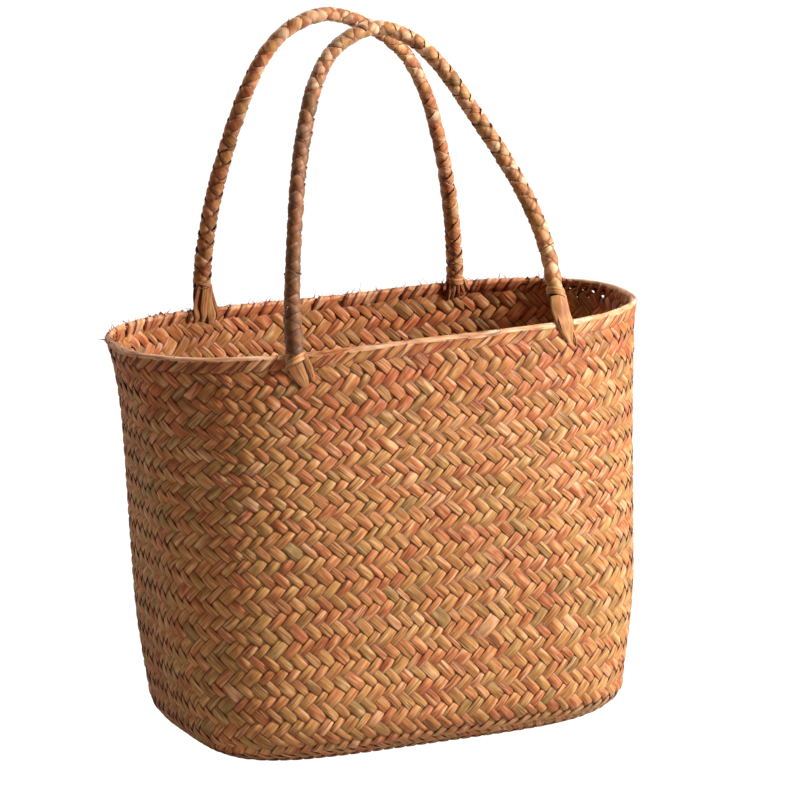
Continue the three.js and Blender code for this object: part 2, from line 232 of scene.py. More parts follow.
def outline(half_length, half_depth, power, turns):
    """Points of an outline at shares of the way round, from the right end past the back."""
    angle = np.linspace(0, math.pi / 2, 400)
    x = half_length * np.cos(angle).clip(0) ** (2 / power)
    y = half_depth * np.sin(angle) ** (2 / power)
    run = np.concatenate([[0], np.cumsum(np.hypot(np.diff(x), np.diff(y)))])
    quarter, part = np.divmod(turns % 1 * 4, 1)
    backwards = quarter % 2 == 1
    place = np.where(backwards, 1 - part, part) * run[-1]
    sign_x = np.where((quarter == 1) | (quarter == 2), -1, 1)
    sign_y = np.where(quarter < 2, 1, -1)
    return sign_x * np.interp(place, run, x), sign_y * np.interp(place, run, y)


def rim_wave(turns):
    """Height of the rim above or below its mean."""
    angle = 2 * math.pi * turns
    return BODY_HEIGHT * sum(c * np.cos(n * angle) + s * np.sin(n * angle) for n, c, s in RIM_WAVES)


def turn_of(s):
    """Share of the way round of the basket, for a count of strips from the front left corner."""
    return 0.75 + (s - BASE_LONG / 2) / STRIPS_ROUND


def base_edge(angle, inside):
    """Inset, height and shift of the base's rounding: angle 0 meets the wall, and 90 the floor."""
    inset = inside + (BASE_ROUND_IN - inside) * (1 - np.cos(angle))
    height = inside + (BASE_ROUND_UP - inside) * (1 - np.sin(angle))
    return inset, height, BASE_SHIFT * (1 - height / BASE_ROUND_UP)


def body_ring(row, s, inside=WALL / 2):
    """Points of the basket's wall at a row of the weave, at a depth inside its outer face."""
    turns = turn_of(s)
    if row < ROW_MARKS[0]:
        angles = np.linspace(BASE_EDGE_ANGLE, 0, 60)
        insets, heights, _ = base_edge(angles, inside)
        run = np.concatenate([[0], np.cumsum(np.hypot(np.diff(insets), np.diff(heights)))])
        angle = np.interp(row / ROW_MARKS[0], run / run[-1], angles)
        inset, height, shift = base_edge(angle, inside)
        share = 0.0
        height = np.full(len(s), height)
    else:
        height = smooth_table(ROW_MARKS, ROW_HEIGHTS, row)
        share = (height - BASE_ROUND_UP) / (BODY_HEIGHT - BASE_ROUND_UP)
        height = height + rim_wave(turns) * share**2
        inset, shift = inside, 0.0
    half_length, half_depth, power, lean = section_at(share, inset)
    x, y = outline(half_length, half_depth, power, turns)
    return np.stack([x + lean + shift, y, height], axis=1)


def wall_surface():
    """Points and outward directions on the middle of the wall, by row and by count of strips."""
    s = np.arange(0, STRIPS_ROUND, CELL)
    rows = np.arange(0, TOP_ROW + 1 + CELL, CELL)
    points = np.stack([body_ring(row, s) for row in rows])
    along = np.roll(points, -1, axis=1) - np.roll(points, 1, axis=1)
    up = np.gradient(points, axis=0)
    normals = np.cross(along, up)
    return points, normals / np.linalg.norm(normals, axis=2, keepdims=True)


def base_height(x, y, inside=WALL / 2):
    """Height of the base over a place in plan."""
    half_length, half_depth, power, lean = section_at(0.0, 0.0)
    height = np.full(x.shape, inside)
    for _ in range(3):
        shift = BASE_SHIFT * (1 - height / BASE_ROUND_UP)
        low = np.full(x.shape, inside)
        high = np.full(x.shape, BASE_ROUND_IN)
        for _ in range(24):
            inset = (low + high) / 2
            reach = np.abs((x - lean - shift) / (half_length - inset)) ** power
            outside = reach + np.abs(y / (half_depth - inset)) ** power > 1
            high = np.where(outside, inset, high)
            low = np.where(outside, low, inset)
        cosine = 1 - (inset - inside) / (BASE_ROUND_IN - inside)
        sine = np.sqrt((1 - cosine**2).clip(0))
        height = inside + (BASE_ROUND_UP - inside) * (1 - sine)
    return height


def base_surface(wall_points, wall_normals):
    """Points and outward directions on the base, spanned between its edges in the wall's grid."""
    per = int(1 / CELL)
    long, painted_shade = BASE_LONG * per, BASE_DEEP * per
    ring = np.concatenate([wall_points[0], wall_points[0][:1]])
    front, right = ring[: long + 1], ring[long: long + painted_shade + 1]
    back = ring[long + painted_shade: 2 * long + painted_shade + 1][::-1]
    left = ring[2 * long + painted_shade:][::-1]
    u = np.linspace(0, 1, long + 1)[None, :, None]
    v = np.linspace(0, 1, painted_shade + 1)[:, None, None]
    points = (
        (1 - v) * front[None] + v * back[None] + (1 - u) * left[:, None] + u * right[:, None]
        - (1 - u) * (1 - v) * front[0] - u * (1 - v) * front[-1]
        - (1 - u) * v * back[0] - u * v * back[-1]
    )
    points[1:-1, 1:-1, 2] = base_height(points[1:-1, 1:-1, 0], points[1:-1, 1:-1, 1])
    normals = np.cross(np.gradient(points, axis=0), np.gradient(points, axis=1))
    normals /= np.linalg.norm(normals, axis=2, keepdims=True)
    ring = np.concatenate([wall_normals[0], wall_normals[0][:1]])
    normals[0], normals[:, -1] = ring[: long + 1], ring[long: long + painted_shade + 1]
    normals[-1] = ring[long + painted_shade: 2 * long + painted_shade + 1][::-1]
    normals[:, 0] = ring[2 * long + painted_shade:][::-1]
    return points, normals


def between(grid, row, column, around):
    """Reads a grid between its points; around says that its columns close on themselves."""
    row = np.clip(row / CELL, 0, grid.shape[0] - 1.001)
    column = column / CELL
    if around:
        column = column % grid.shape[1]
    else:
        column = np.clip(column, 0, grid.shape[1] - 1.001)
    r, c = row.astype(int), column.astype(int)
    next_c = (c + 1) % grid.shape[1]
    c = c % grid.shape[1]
    fr, fc = (row - r)[..., None], (column - column.astype(int))[..., None]
    return (
        grid[r, c] * (1 - fr) * (1 - fc) + grid[r + 1, c] * fr * (1 - fc)
        + grid[r, next_c] * (1 - fr) * fc + grid[r + 1, next_c] * fr * fc
    )


def wander(rows, steps, span):
    """Slow random waves, one in each row, that turn about once in every span steps."""
    knots = rng.normal(size=(rows, steps // span + 3))
    place = np.arange(steps) / span + rng.random()
    low = place.astype(int)
    blend = (1 - np.cos(math.pi * (place - low))) / 2
    return knots[:, low] * (1 - blend) + knots[:, low + 1] * blend


wall_points, wall_normals = wall_surface()
base_points, base_normals = base_surface(wall_points, wall_normals)

# How far each line between two strips strays, in strips, for those that lean right and those that
# lean left: in short waves and long ones, more in the last rows, and not where it leaves the base
STRAY, STRAY_ADDED_ABOVE = 0.115, 0.055
LOOSER_FROM_ROW, LOOSER_OVER_ROWS, EVEN_ROWS = 25, 5, 2
SHORT_WAVE, LONG_WAVE, LONG_WAVE_SHARE = 14, 60, 1.1
STRAY_STEPS = int((TOP_ROW + 2) / CELL)
stray_rows = np.arange(STRAY_STEPS) * CELL
looser = np.clip((stray_rows - LOOSER_FROM_ROW) / LOOSER_OVER_ROWS, 0, 1)
looseness = (STRAY + STRAY_ADDED_ABOVE * looser) * np.clip(stray_rows / EVEN_ROWS, 0, 1)
strays = [
    ((wander(STRIPS_ROUND, STRAY_STEPS, SHORT_WAVE)
      + LONG_WAVE_SHARE * wander(STRIPS_ROUND, STRAY_STEPS, LONG_WAVE)) * looseness).T
    for _ in range(2)
]


def strayed(s, row):
    """Moves places on the wall as the loose lines of the weave do."""
    right_line, left_line = s - row, s + row
    moves = []
    for stray, line in zip(strays, (right_line, left_line)):
        moves.append(between(stray[..., None], row, line * CELL, around=True)[..., 0])
    return s + (moves[0] + moves[1]) / 2, row + (moves[1] - moves[0]) / 2


SIDES = {
    "front": lambda p, q: (p, -q),
    "right": lambda p, q: (BASE_LONG + q, p - BASE_LONG),
    "back": lambda p, q: (2 * BASE_LONG + BASE_DEEP - p, q - BASE_DEEP),
    "left": lambda p, q: (2 * BASE_LONG + 2 * BASE_DEEP - q, -p),
}


def place_on_body(p, q, side):
    """Points and directions for places in the base's grid and where it runs on up one side."""
    s, row = SIDES[side](p, q)
    on_wall = row > 0
    s_strayed, row_strayed = strayed(s, np.maximum(row, 0))
    results = []
    for wall_grid, base_grid in ((wall_points, base_points), (wall_normals, base_normals)):
        on_side = between(wall_grid, row_strayed, s_strayed, around=True)
        under = between(base_grid, q, p, around=False)
        results.append(np.where(on_wall[..., None], on_side, under))
    return results


def runs_of_strips():
    """Every strip as its start in the base's grid, its step, its run under the base, and the
    sides that it climbs at its start and at its end."""
    for c in np.arange(-BASE_DEEP + 0.5, BASE_LONG):
        start = (c, 0.0) if c > 0 else (0.0, -c)
        end = (BASE_DEEP + c, BASE_DEEP) if BASE_DEEP + c < BASE_LONG else (BASE_LONG, BASE_LONG - c)
        sides = ("front" if c > 0 else "left", "back" if end[1] == BASE_DEEP else "right")
        yield start, 1, end[0] - start[0], sides
    for c in np.arange(0.5, BASE_LONG + BASE_DEEP):
        start = (0.0, c) if c < BASE_DEEP else (c - BASE_DEEP, BASE_DEEP)
        end = (c, 0.0) if c < BASE_LONG else (BASE_LONG, c - BASE_LONG)
        sides = ("left" if c < BASE_DEEP else "back", "front" if c < BASE_LONG else "right")
        yield start, -1, end[0] - start[0], sides


def lies_outside(tau, start, step, run, sides):
    """1 where a strip passes over the other one at a crossing, and -1 where it passes under."""
    p, q = start[0] + tau, start[1] + step * tau
    if tau <= 0:
        side, count = sides[0], 2 * tau
    elif tau >= run:
        side, count = sides[1], 2 * (run - tau)
    else:
        gaps = {"front": q, "back": BASE_DEEP - q, "left": p, "right": BASE_LONG - p}
        side = min(gaps, key=gaps.get)
        count = 2 * gaps[side]
    leans_right = (step < 0) == (side in ("front", "back"))
    upper_half = round(count) % 4 < 2
    return 1 if leans_right == upper_half else -1


STEPS_PER_CROSSING = 3
WAVE = 0.00112
# A strip's wave: the share that dives from side to side, the share that swells between two
# crossings on one side, and the part of the way between crossings that a dive takes
WAVE_DIVE, WAVE_SWELL = 0.64, 0.36
DIVE_FROM, DIVE_LENGTH = 0.10, 0.80
# Section of a strip: share of its half width, and height over its middle
STRIP_SECTION = np.array([
    (-1, 0.00008), (-0.82, 0.00043), (0, 0.00058), (0.82, 0.00043), (1, 0.00008),
    (0.82, -0.00034), (0, -0.00050), (-0.82, -0.00034),
])
# A few eyelets are open under the rim at the back right: their middle by strip and by row
EYELETS_AT = (45.0, 31.62)
EYELETS_REACH = (3.8, 0.36)
# A strip's width as a share of its room: its mean, its waver, what it gains in the loose band
# under the rim and what it loses at the eyelets
FILL, FILL_WAVER, FILL_LOOSE, FILL_LOST_AT_EYELETS = 1.05, 0.02, 0.04, 0.58
# Rows up the wall where the loose band starts and is whole, and where the wave is pressed flatter
# to go in under the rim
LOOSE_BAND = (24, 30)
PRESSED_ROWS, PRESSED_WAVE = (31.3, 31.8), 0.45
# Waver of a strip's tilt and of its height, and what the loose band adds
TILT, TILT_LOOSE = 0.00007, 0.00012
LIFT, LIFT_LOOSE = 0.00003, 0.00010
# A strip's tone: the share that is its own, the share of each stretch that shows, and its waver
TONE_OF_STRIP, TONE_OF_STRETCH, TONE_WAVER = 0.62, 0.38, 0.10
# How much more painted shade the loose band's outer face takes, and a strip's half width and step
# from the last one in the noise of the straw
LOOSE_PAINTED_SHADE = 0.36
STRAW_HALF_WIDTH = 0.003
WEAVE_NOISE_STEP = 0.37


def woven_strip(number, start, step, run, sides):
    """Rings of points along one strip, with its places, tones and painted shade for the straw
    material.
    """
    crossings = np.arange(-2 * TOP_ROW, round(2 * (run + TOP_ROW)) + 1)
    signs = np.array([lies_outside(c / 2, start, step, run, sides) for c in crossings])
    steps = np.arange(STEPS_PER_CROSSING * (len(crossings) - 1) + 1)
    low = np.minimum(steps // STEPS_PER_CROSSING, len(crossings) - 2)
    x = steps / STEPS_PER_CROSSING - low
    before, after = signs[low], signs[low + 1]
    dive = np.clip((x - DIVE_FROM) / DIVE_LENGTH, 0, 1)
    blend = (3 - 2 * dive) * dive**2
    height = WAVE_DIVE * (before * (1 - blend) + after * blend)
    height = height + WAVE_SWELL * (before + after) / 2 * np.sin(math.pi * x)

    tau = (crossings[0] + steps / STEPS_PER_CROSSING) / 2
    up_wall = np.maximum(-tau, tau - run)
    loose = np.interp(up_wall, LOOSE_BAND, [0, 1])
    fill = FILL + FILL_WAVER * wander(1, len(steps), 20)[0] + FILL_LOOSE * loose
    places = [SIDES[side](start[0] + tau, start[1] + step * tau) for side in sides]
    s_middle, row_middle = np.where(tau < run / 2, places[0], places[1])
    from_eyelets = np.maximum(
        np.abs(s_middle % STRIPS_ROUND - EYELETS_AT[0]) / EYELETS_REACH[0],
        np.abs(row_middle - EYELETS_AT[1]) / EYELETS_REACH[1])
    fill = fill - FILL_LOST_AT_EYELETS * np.clip(2 - 2 * from_eyelets, 0, 1)
    tilt = (TILT + TILT_LOOSE * loose) * wander(1, len(steps), 9)[0]
    lift = (LIFT + LIFT_LOOSE * loose) * wander(1, len(steps), 12)[0]

    aside = STRIP_SECTION[None, :, 0] * fill[:, None]
    p = start[0] + tau[:, None] + aside / 4
    q = start[1] + step * tau[:, None] - step * aside / 4
    first_half = (tau < run / 2)[:, None]
    points_a, normals_a = place_on_body(p, q, sides[0])
    points_b, normals_b = place_on_body(p, q, sides[1])
    points = np.where(first_half[..., None], points_a, points_b)
    normals = np.where(first_half[..., None], normals_a, normals_b)
    under_rim = np.interp(up_wall, PRESSED_ROWS, [1, PRESSED_WAVE])
    rise = WAVE * (height * under_rim)[:, None] + STRIP_SECTION[None, :, 1]
    rise = rise + tilt[:, None] * aside + lift[:, None]
    rings = points + normals * rise[..., None]

    middle = rings.mean(axis=1)
    along = np.concatenate([[0], np.cumsum(np.linalg.norm(np.diff(middle, axis=0), axis=1))])
    place = np.stack([
        np.broadcast_to(along[:, None], aside.shape),
        np.broadcast_to(STRIP_SECTION[None, :, 0] * STRAW_HALF_WIDTH, aside.shape),
        np.full(aside.shape, number * WEAVE_NOISE_STEP),
    ], axis=2)
    changes = np.concatenate([[0], np.cumsum(np.diff(signs) != 0)])
    stretch = changes[np.where(x < 0.5, low, low + 1)]
    stretch_tone = rng.random(changes[-1] + 1)[stretch]
    tone = (TONE_OF_STRIP * rng.random() + TONE_OF_STRETCH * stretch_tone
            + TONE_WAVER * wander(1, len(steps), 30)[0])
    outer = STRIP_SECTION[:, 1] > 0
    # Painted shade on the outer face where the strip dives, and on the inner face where it rises
    depth = np.where(outer[None, :], 1 + LOOSE_PAINTED_SHADE * loose[:, None] - height[:, None],
                     1 + height[:, None]) / 2
    loose_tone = np.broadcast_to(loose[:, None], aside.shape)
    return rings, place, np.broadcast_to(tone[:, None], aside.shape), depth, loose_tone


def straw_object(name, strips, material, looped=False):
    """One object from strips of rings. Each strip is closed by a face at either end, or its last
    ring meets its first."""
    counts = [strip[0].shape[:2] for strip in strips]
    around = counts[0][1]
    starts = np.concatenate([[0], np.cumsum([n * k for n, k in counts])])
    quads, ends = [], []
    turn = np.arange(around)
    for (length, _), first in zip(counts, starts):
        steps = np.arange(length if looped else length - 1)[:, None]
        ring, next_ring = first + around * steps, first + around * ((steps + 1) % length)
        after = (turn + 1) % around
        corners = [ring + after, ring + turn, next_ring + turn, next_ring + after]
        quads.append(np.stack(corners, 2).reshape(-1, 4))
        if not looped:
            ends.append(first + turn)
            ends.append(first + around * (length - 1) + turn[::-1])
    quads, ends = np.concatenate(quads), np.array(ends, dtype=int).reshape(-1, around)
    mesh = bpy.data.meshes.new(name)
    mesh.vertices.add(int(starts[-1]))
    mesh.vertices.foreach_set("co", np.concatenate([s[0].reshape(-1) for s in strips]))
    mesh.loops.add(quads.size + ends.size)
    mesh.loops.foreach_set("vertex_index", np.concatenate([quads.reshape(-1), ends.reshape(-1)]))
    mesh.polygons.add(len(quads) + len(ends))
    sizes = np.concatenate([np.full(len(quads), 4), np.full(len(ends), around)])
    mesh.polygons.foreach_set("loop_start", np.concatenate([[0], np.cumsum(sizes)[:-1]]))
    for key, kind, field, column in (
        ("straw_place", "FLOAT_VECTOR", "vector", 1),
        ("straw_tone", "FLOAT", "value", 2),
        ("straw_painted_shade", "FLOAT", "value", 3),
        ("straw_loose", "FLOAT", "value", 4),
    ):
        layer = mesh.attributes.new(key, kind, "POINT")
        layer.data.foreach_set(field, np.concatenate([s[column].reshape(-1) for s in strips]))
    mesh.update(calc_edges=True)
    mesh.validate()
    mesh.shade_smooth()
    mesh.set_sharp_from_angle(angle=math.radians(38))
    mesh.materials.append(material)
    made = bpy.data.objects.new(name, mesh)
    bpy.context.scene.collection.objects.link(made)
    return made


def node(tree, kind, **settings):
    """A node with its settings, and with its inputs set or linked by name."""
    made = tree.nodes.new(kind)
    inputs = settings.pop("inputs", {})
    for key, value in settings.items():
        setattr(made, key, value)
    for key, value in inputs.items():
        if isinstance(value, bpy.types.NodeSocket):
            tree.links.new(value, made.inputs[key])
        else:
            made.inputs[key].default_value = value
    return made


# Straw's colours by tone: olive, gold, orange, tan, red-brown and pale
STRAW_COLOURS = [
    (0.00, (0.365, 0.218, 0.070)),
    (0.18, (0.510, 0.283, 0.091)),
    (0.40, (0.605, 0.305, 0.098)),
    (0.60, (0.645, 0.280, 0.100)),
    (0.80, (0.530, 0.155, 0.052)),
    (1.00, (0.780, 0.450, 0.230)),
]
# The colours that straw turns to: pale straw, partly a painted highlight on the rim, pale streaks
# that are partly a painted highlight, and splits. Then the ones that the rest is darkened by: its
# redness, its clouds and fibres, painted shade in the gaps along its edges, and painted shade
# where it lies deep
PALE_STRAW_AND_PAINTED_HIGHLIGHT = (0.95, 0.76, 0.56, 1)
PALE_STREAKS_AND_PAINTED_HIGHLIGHT = (0.93, 0.61, 0.34, 1)
SPLIT_STRAW = (0.190, 0.065, 0.020, 1)
BY_REDNESS = (0.90, 0.73, 0.66, 1)
BY_CLOUDS = (0.62, 0.46, 0.36, 1)
BY_FIBRES = (0.66, 0.50, 0.38, 1)
PAINTED_SHADE_IN_GAPS = (0.21, 0.10, 0.05, 1)
PAINTED_SHADE_COLOUR = (0.28, 0.13, 0.06, 1)
# Distance from a strip's middle where its edge takes painted shade, from where it starts to where
# it is whole
EDGE_FROM, EDGE_TO = 0.00235, 0.0029


def straw_group():
    """Straw as a colour, a roughness and a height, from the place on its strip."""
    tree = bpy.data.node_groups.new("straw", "ShaderNodeTree")
    sockets = tree.interface
    sockets.new_socket("Place", in_out="INPUT", socket_type="NodeSocketVector")
    for name in ("Tone", "Depth", "Redness", "Splits"):
        sockets.new_socket(name, in_out="INPUT", socket_type="NodeSocketFloat")
    sockets.new_socket("Colour", in_out="OUTPUT", socket_type="NodeSocketColor")
    sockets.new_socket("Roughness", in_out="OUTPUT", socket_type="NodeSocketFloat")
    sockets.new_socket("Height", in_out="OUTPUT", socket_type="NodeSocketFloat")
    given = tree.nodes.new("NodeGroupInput")
    out = tree.nodes.new("NodeGroupOutput")

    def streaks(along, across, detail):
        stretched = node(tree, "ShaderNodeVectorMath", operation="MULTIPLY",
                         inputs={0: given.outputs["Place"], 1: (along, across, 9.0)})
        noise = node(tree, "ShaderNodeTexNoise", noise_dimensions="3D",
                     inputs={"Vector": stretched.outputs[0], "Scale": 1.0, "Detail": detail})
        return noise.outputs["Fac"]

    def ranged(value, low, high, to_low=0.0, to_high=1.0):
        made = node(tree, "ShaderNodeMapRange", inputs={
            "Value": value, "From Min": low, "From Max": high, "To Min": to_low, "To Max": to_high})
        return made.outputs["Result"]

    def maths(operation, a, b=0.0):
        return node(tree, "ShaderNodeMath", operation=operation, inputs={0: a, 1: b}).outputs[0]

    def mixed(blend, share, a, b):
        made = node(tree, "ShaderNodeMix", data_type="RGBA", blend_type=blend,
                    inputs={0: share, 6: a, 7: b})
        return made.outputs[2]

    fibre = streaks(45.0, 1500.0, 3.0)
    blotch = streaks(45.0, 330.0, 2.0)
    cloud = streaks(75.0, 430.0, 2.0)
    split_noise = streaks(38.0, 620.0, 1.0)
    tint = maths("ADD", given.outputs["Tone"], ranged(blotch, 0.3, 0.7, -0.22, 0.22))
    ramp = node(tree, "ShaderNodeValToRGB", inputs={"Fac": tint})
    while len(ramp.color_ramp.elements) < len(STRAW_COLOURS):
        ramp.color_ramp.elements.new(0.5)
    for element, (place, colour) in zip(ramp.color_ramp.elements, STRAW_COLOURS):
        element.position = place
        element.color = (*colour, 1)
    # Tones over the ramp turn to pale straw, which on the rim's fold is a painted highlight
    paled_and_highlit = mixed("MIX", ranged(tint, 1.05, 1.55), ramp.outputs["Color"], PALE_STRAW_AND_PAINTED_HIGHLIGHT)
    red = mixed("MULTIPLY", given.outputs["Redness"], paled_and_highlit, BY_REDNESS)
    # Pale streaks at random, which are partly a painted highlight
    streaked_and_highlit = mixed("MIX", ranged(cloud, 0.44, 0.30, 0.0, 0.50), red, PALE_STREAKS_AND_PAINTED_HIGHLIGHT)
    shaded = mixed("MULTIPLY", ranged(cloud, 0.46, 0.66, 0.0, 0.90), streaked_and_highlit, BY_CLOUDS)
    grained = mixed("MULTIPLY", ranged(fibre, 0.44, 0.68, 0.0, 0.85), shaded, BY_FIBRES)
    split = maths("MULTIPLY", ranged(split_noise, 0.62, 0.70), given.outputs["Splits"])
    cracked = mixed("MIX", split, grained, SPLIT_STRAW)
    across = node(tree, "ShaderNodeSeparateXYZ", inputs={0: given.outputs["Place"]}).outputs["Y"]
    # Painted shade along the strip's edges, in the gaps between strips
    edge = ranged(maths("ABSOLUTE", across), EDGE_FROM, EDGE_TO)
    gap_shaded = mixed("MULTIPLY", maths("MULTIPLY", edge, 0.92), cracked, PAINTED_SHADE_IN_GAPS)
    # Painted shade where the strip lies deep under others or in shadow
    painted_shade = ranged(given.outputs["Depth"], 0.46, 0.80)
    colour = mixed("MULTIPLY", maths("MULTIPLY", painted_shade, 0.92), gap_shaded, PAINTED_SHADE_COLOUR)
    tree.links.new(colour, out.inputs["Colour"])
    tree.links.new(ranged(fibre, 0.3, 0.7, 0.46, 0.66), out.inputs["Roughness"])
    grain = maths("ADD", maths("MULTIPLY", fibre, 0.42), maths("MULTIPLY", split, -0.60))
    tree.links.new(maths("ADD", grain, maths("MULTIPLY", cloud, 0.8)), out.inputs["Height"])
    return tree


straw = straw_group()


def straw_material(name, redness, splits, sheen=0.10):
    """Straw with its own redness, splits and sheen. The loose band of a strip is redder."""
    material = bpy.data.materials.new(name)
    material.use_nodes = True
    tree = material.node_tree
    place = node(tree, "ShaderNodeAttribute", attribute_name="straw_place")
    tone = node(tree, "ShaderNodeAttribute", attribute_name="straw_tone")
    # Painted shade, carried in an attribute of the mesh
    depth = node(tree, "ShaderNodeAttribute", attribute_name="straw_painted_shade")
    loose = node(tree, "ShaderNodeAttribute", attribute_name="straw_loose")
    reddened = node(tree, "ShaderNodeMath", operation="MULTIPLY_ADD",
                    inputs={0: loose.outputs["Fac"], 1: 1 - redness, 2: redness})
    look = node(tree, "ShaderNodeGroup", node_tree=straw)
    tree.links.new(place.outputs["Vector"], look.inputs["Place"])
    tree.links.new(tone.outputs["Fac"], look.inputs["Tone"])
    tree.links.new(depth.outputs["Fac"], look.inputs["Depth"])
    tree.links.new(reddened.outputs[0], look.inputs["Redness"])
    look.inputs["Splits"].default_value = splits
    surface = tree.nodes["Principled BSDF"]
    bump = node(tree, "ShaderNodeBump",
                inputs={"Height": look.outputs["Height"], "Distance": 0.0005, "Strength": 0.8})
    tree.links.new(look.outputs["Colour"], surface.inputs["Base Color"])
    tree.links.new(look.outputs["Roughness"], surface.inputs["Roughness"])
    tree.links.new(bump.outputs["Normal"], surface.inputs["Normal"])
    surface.inputs["Specular IOR Level"].default_value = 0.35
    surface.inputs["Sheen Weight"].default_value = sheen
    surface.inputs["Sheen Roughness"].default_value = 0.5
    return material


woven_straw = straw_material("woven_straw", 0.1, 0.8)
strips = [woven_strip(number, *run) for number, run in enumerate(runs_of_strips())]
PIECES_OF_WEAVE = 4
for part in range(PIECES_OF_WEAVE):
    share = len(strips) // PIECES_OF_WEAVE + 1
    weave = straw_object(f"weave_{part + 1}", strips[part * share:(part + 1) * share], woven_straw)
    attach(weave, "root")
    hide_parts("woven_body")


# Rim. The ends of the strips are folded over the top edge and bound down by more straw, in short
# slanted wraps that overlap from left to right and tuck in under the first row of the weave.

RIM_FOLD = 0.0016
WRAP_SLANT = 1.25
WRAP_HALF_WIDTH = 0.0054
MOUTH_STEP = 0.0088
WRAP_SLANT_AT_EYELETS = 1.155
WRAP_BEFORE_EYELET = 0.11
SLANT_LOST_INSIDE = 0.4
# Share of a wrap's width along it, from outside to inside
WRAP_PINCH_PLACES = (0, 0.25, 0.45, 0.6, 0.8, 1)
WRAP_PINCH = (0.62, 0.95, 1.0, 1.0, 1.0, 0.75)
WRAP_PINCH_AT_EYELETS = (0.42, 0.38, 0.70, 0.70, 0.38, 0.34)
# How uneven the wraps are in slant and width, and in place
WRAP_UNEVEN, WRAP_UNEVEN_PLACE = 0.10, 0.12
# How far a wrap stands over the fold, rises to the edge that overlaps the next, and wavers
WRAP_PROUD, WRAP_OVERLAP, WRAP_WAVER, WRAP_WAVES = 0.00012, 0.00034, 0.00016, 400
WRAP_THICKNESS_SHARE = 0.9
WRAP_SHADED_LENGTH = 0.0020
# The wraps at the back, by number, are redder and take less painted highlight along the fold than
# those in front
BACK_WRAPS = (45, 91)
WRAP_TONES = {"back": (0.62, 0.98), "front": (0.3, 1.05)}
PAINTED_FOLD_HIGHLIGHT_TONES = (1.15, 1.5)
PAINTED_FOLD_HIGHLIGHT = {"back": 0.6, "front": 1}
PAINTED_FOLD_HIGHLIGHT_REACH = 0.0019
WRAP_REDNESS = {"back": 0.95, "front": 0.4}
# Where each kind of strip starts in the noise of the straw, and its step from strip to strip
WRAP_NOISE, LIP_NOISE, FOLD_NOISE = (60, 0.61), (160, 1.3), 3.1
# The folded ends under the wraps: their depth under the wraps' line outside and inside
FOLD_COLUMNS = 12
FOLD_DEPTHS = (0.0003, 0.0011)

# The pale straws along the edge, whose pale tone is partly a painted highlight: where they lie by
# count of strips, how much they waver and over how many steps, and their section as a share of the
# half width and a height over the wraps
LIP_HALF_WIDTH = 0.0024
LIP_STEP, LIP_TAPER, LIP_END_SHARE = 0.125, 1.5, 0.15
LIP_OUTWARD, LIP_PROUD, LIP_TONE = 0.0004, 0.0006, 1.22
LIP_WAVERS = {"width": (0.12, 24), "place": (0.00025, 30), "height": (0.00012, 10),
              "tone": (0.16, 18)}
LIP_FROM, LIP_TO, LIP_LENGTH = -15.0, 45.0, 12.0
LIP_SECTION = np.array([
    (-1, 0.00006), (-0.7, 0.00026), (-0.35, 0.00036), (0, 0.00040), (0.35, 0.00036), (0.7, 0.00026),
    (1, 0.00006),
    (1, -0.00012), (0.7, -0.00020), (0.35, -0.00024), (0, -0.00024), (-0.35, -0.00024),
    (-0.7, -0.00020), (-1, -0.00012),
])

# The fold's line over the edge: distance from the middle of the wall, and drop below the top
fold_angle = np.linspace(0, math.pi, 9)
RIM_LINE = np.array(
    [(0.0004, 0.0088), (0.0011, 0.0074), (0.0014, 0.0056), (0.0014, 0.0042), (0.0013, 0.0032)]
    + [(RIM_FOLD * math.cos(a), RIM_FOLD * (1 - math.sin(a))) for a in fold_angle]
    + [(-0.0015, 0.0030), (-0.0016, 0.0037), (-0.0014, 0.0050), (-0.0005, 0.0070)]
)
rim_run = np.concatenate([[0], np.cumsum(np.linalg.norm(np.diff(RIM_LINE, axis=0), axis=1))])
rim_top = rim_run[np.argmin(RIM_LINE[:, 1])]
heights_of_rows = np.linspace(20, TOP_ROW + 0.9, 200)
mouth_heights = np.array([smooth_table(ROW_MARKS, ROW_HEIGHTS, row) for row in heights_of_rows])


def on_rim(s, run, proud):
    """A point over the edge of the mouth: along it, over it from the outside, and proud of it."""
    out = np.interp(run, rim_run, RIM_LINE[:, 0])
    drop = np.interp(run, rim_run, RIM_LINE[:, 1])
    facing_out = np.interp(run, rim_run, np.gradient(RIM_LINE[:, 1], rim_run))
    facing_up = np.interp(run, rim_run, np.gradient(RIM_LINE[:, 0], rim_run))
    size = np.hypot(facing_out, facing_up)
    out = out - proud * facing_out / size
    drop = drop + proud * facing_up / size
    row = np.interp(BODY_HEIGHT - np.maximum(drop, 0), mouth_heights, heights_of_rows)
    point = between(wall_points, row, s, around=True)
    point = point + between(wall_normals, row, s, around=True) * out[..., None]
    point[..., 2] += np.maximum(-drop, 0)
    return point


# Half width in the straw's own places of strips whose edges take no painted shade
PALE_EDGED_HALF_WIDTH = 0.0022


def straw_strip(rings, in_noise, tone, depth, half_width=STRAW_HALF_WIDTH, loose=0.0):
    """A strip's rings with its places, tones and painted shade for the straw material."""
    middle = rings.mean(axis=1)
    along = np.concatenate([[0], np.cumsum(np.linalg.norm(np.diff(middle, axis=0), axis=1))])
    shape = rings.shape[:2]
    across = np.linspace(-1, 1, shape[1] // 2)
    across = np.concatenate([across, across[::-1]]) * half_width
    place = np.stack([
        np.broadcast_to(along[:, None], shape),
        np.broadcast_to(across[None], shape),
        np.full(shape, in_noise),
    ], axis=2)
    return (rings, place, np.broadcast_to(tone, shape), np.broadcast_to(depth, shape),
            np.full(shape, loose))


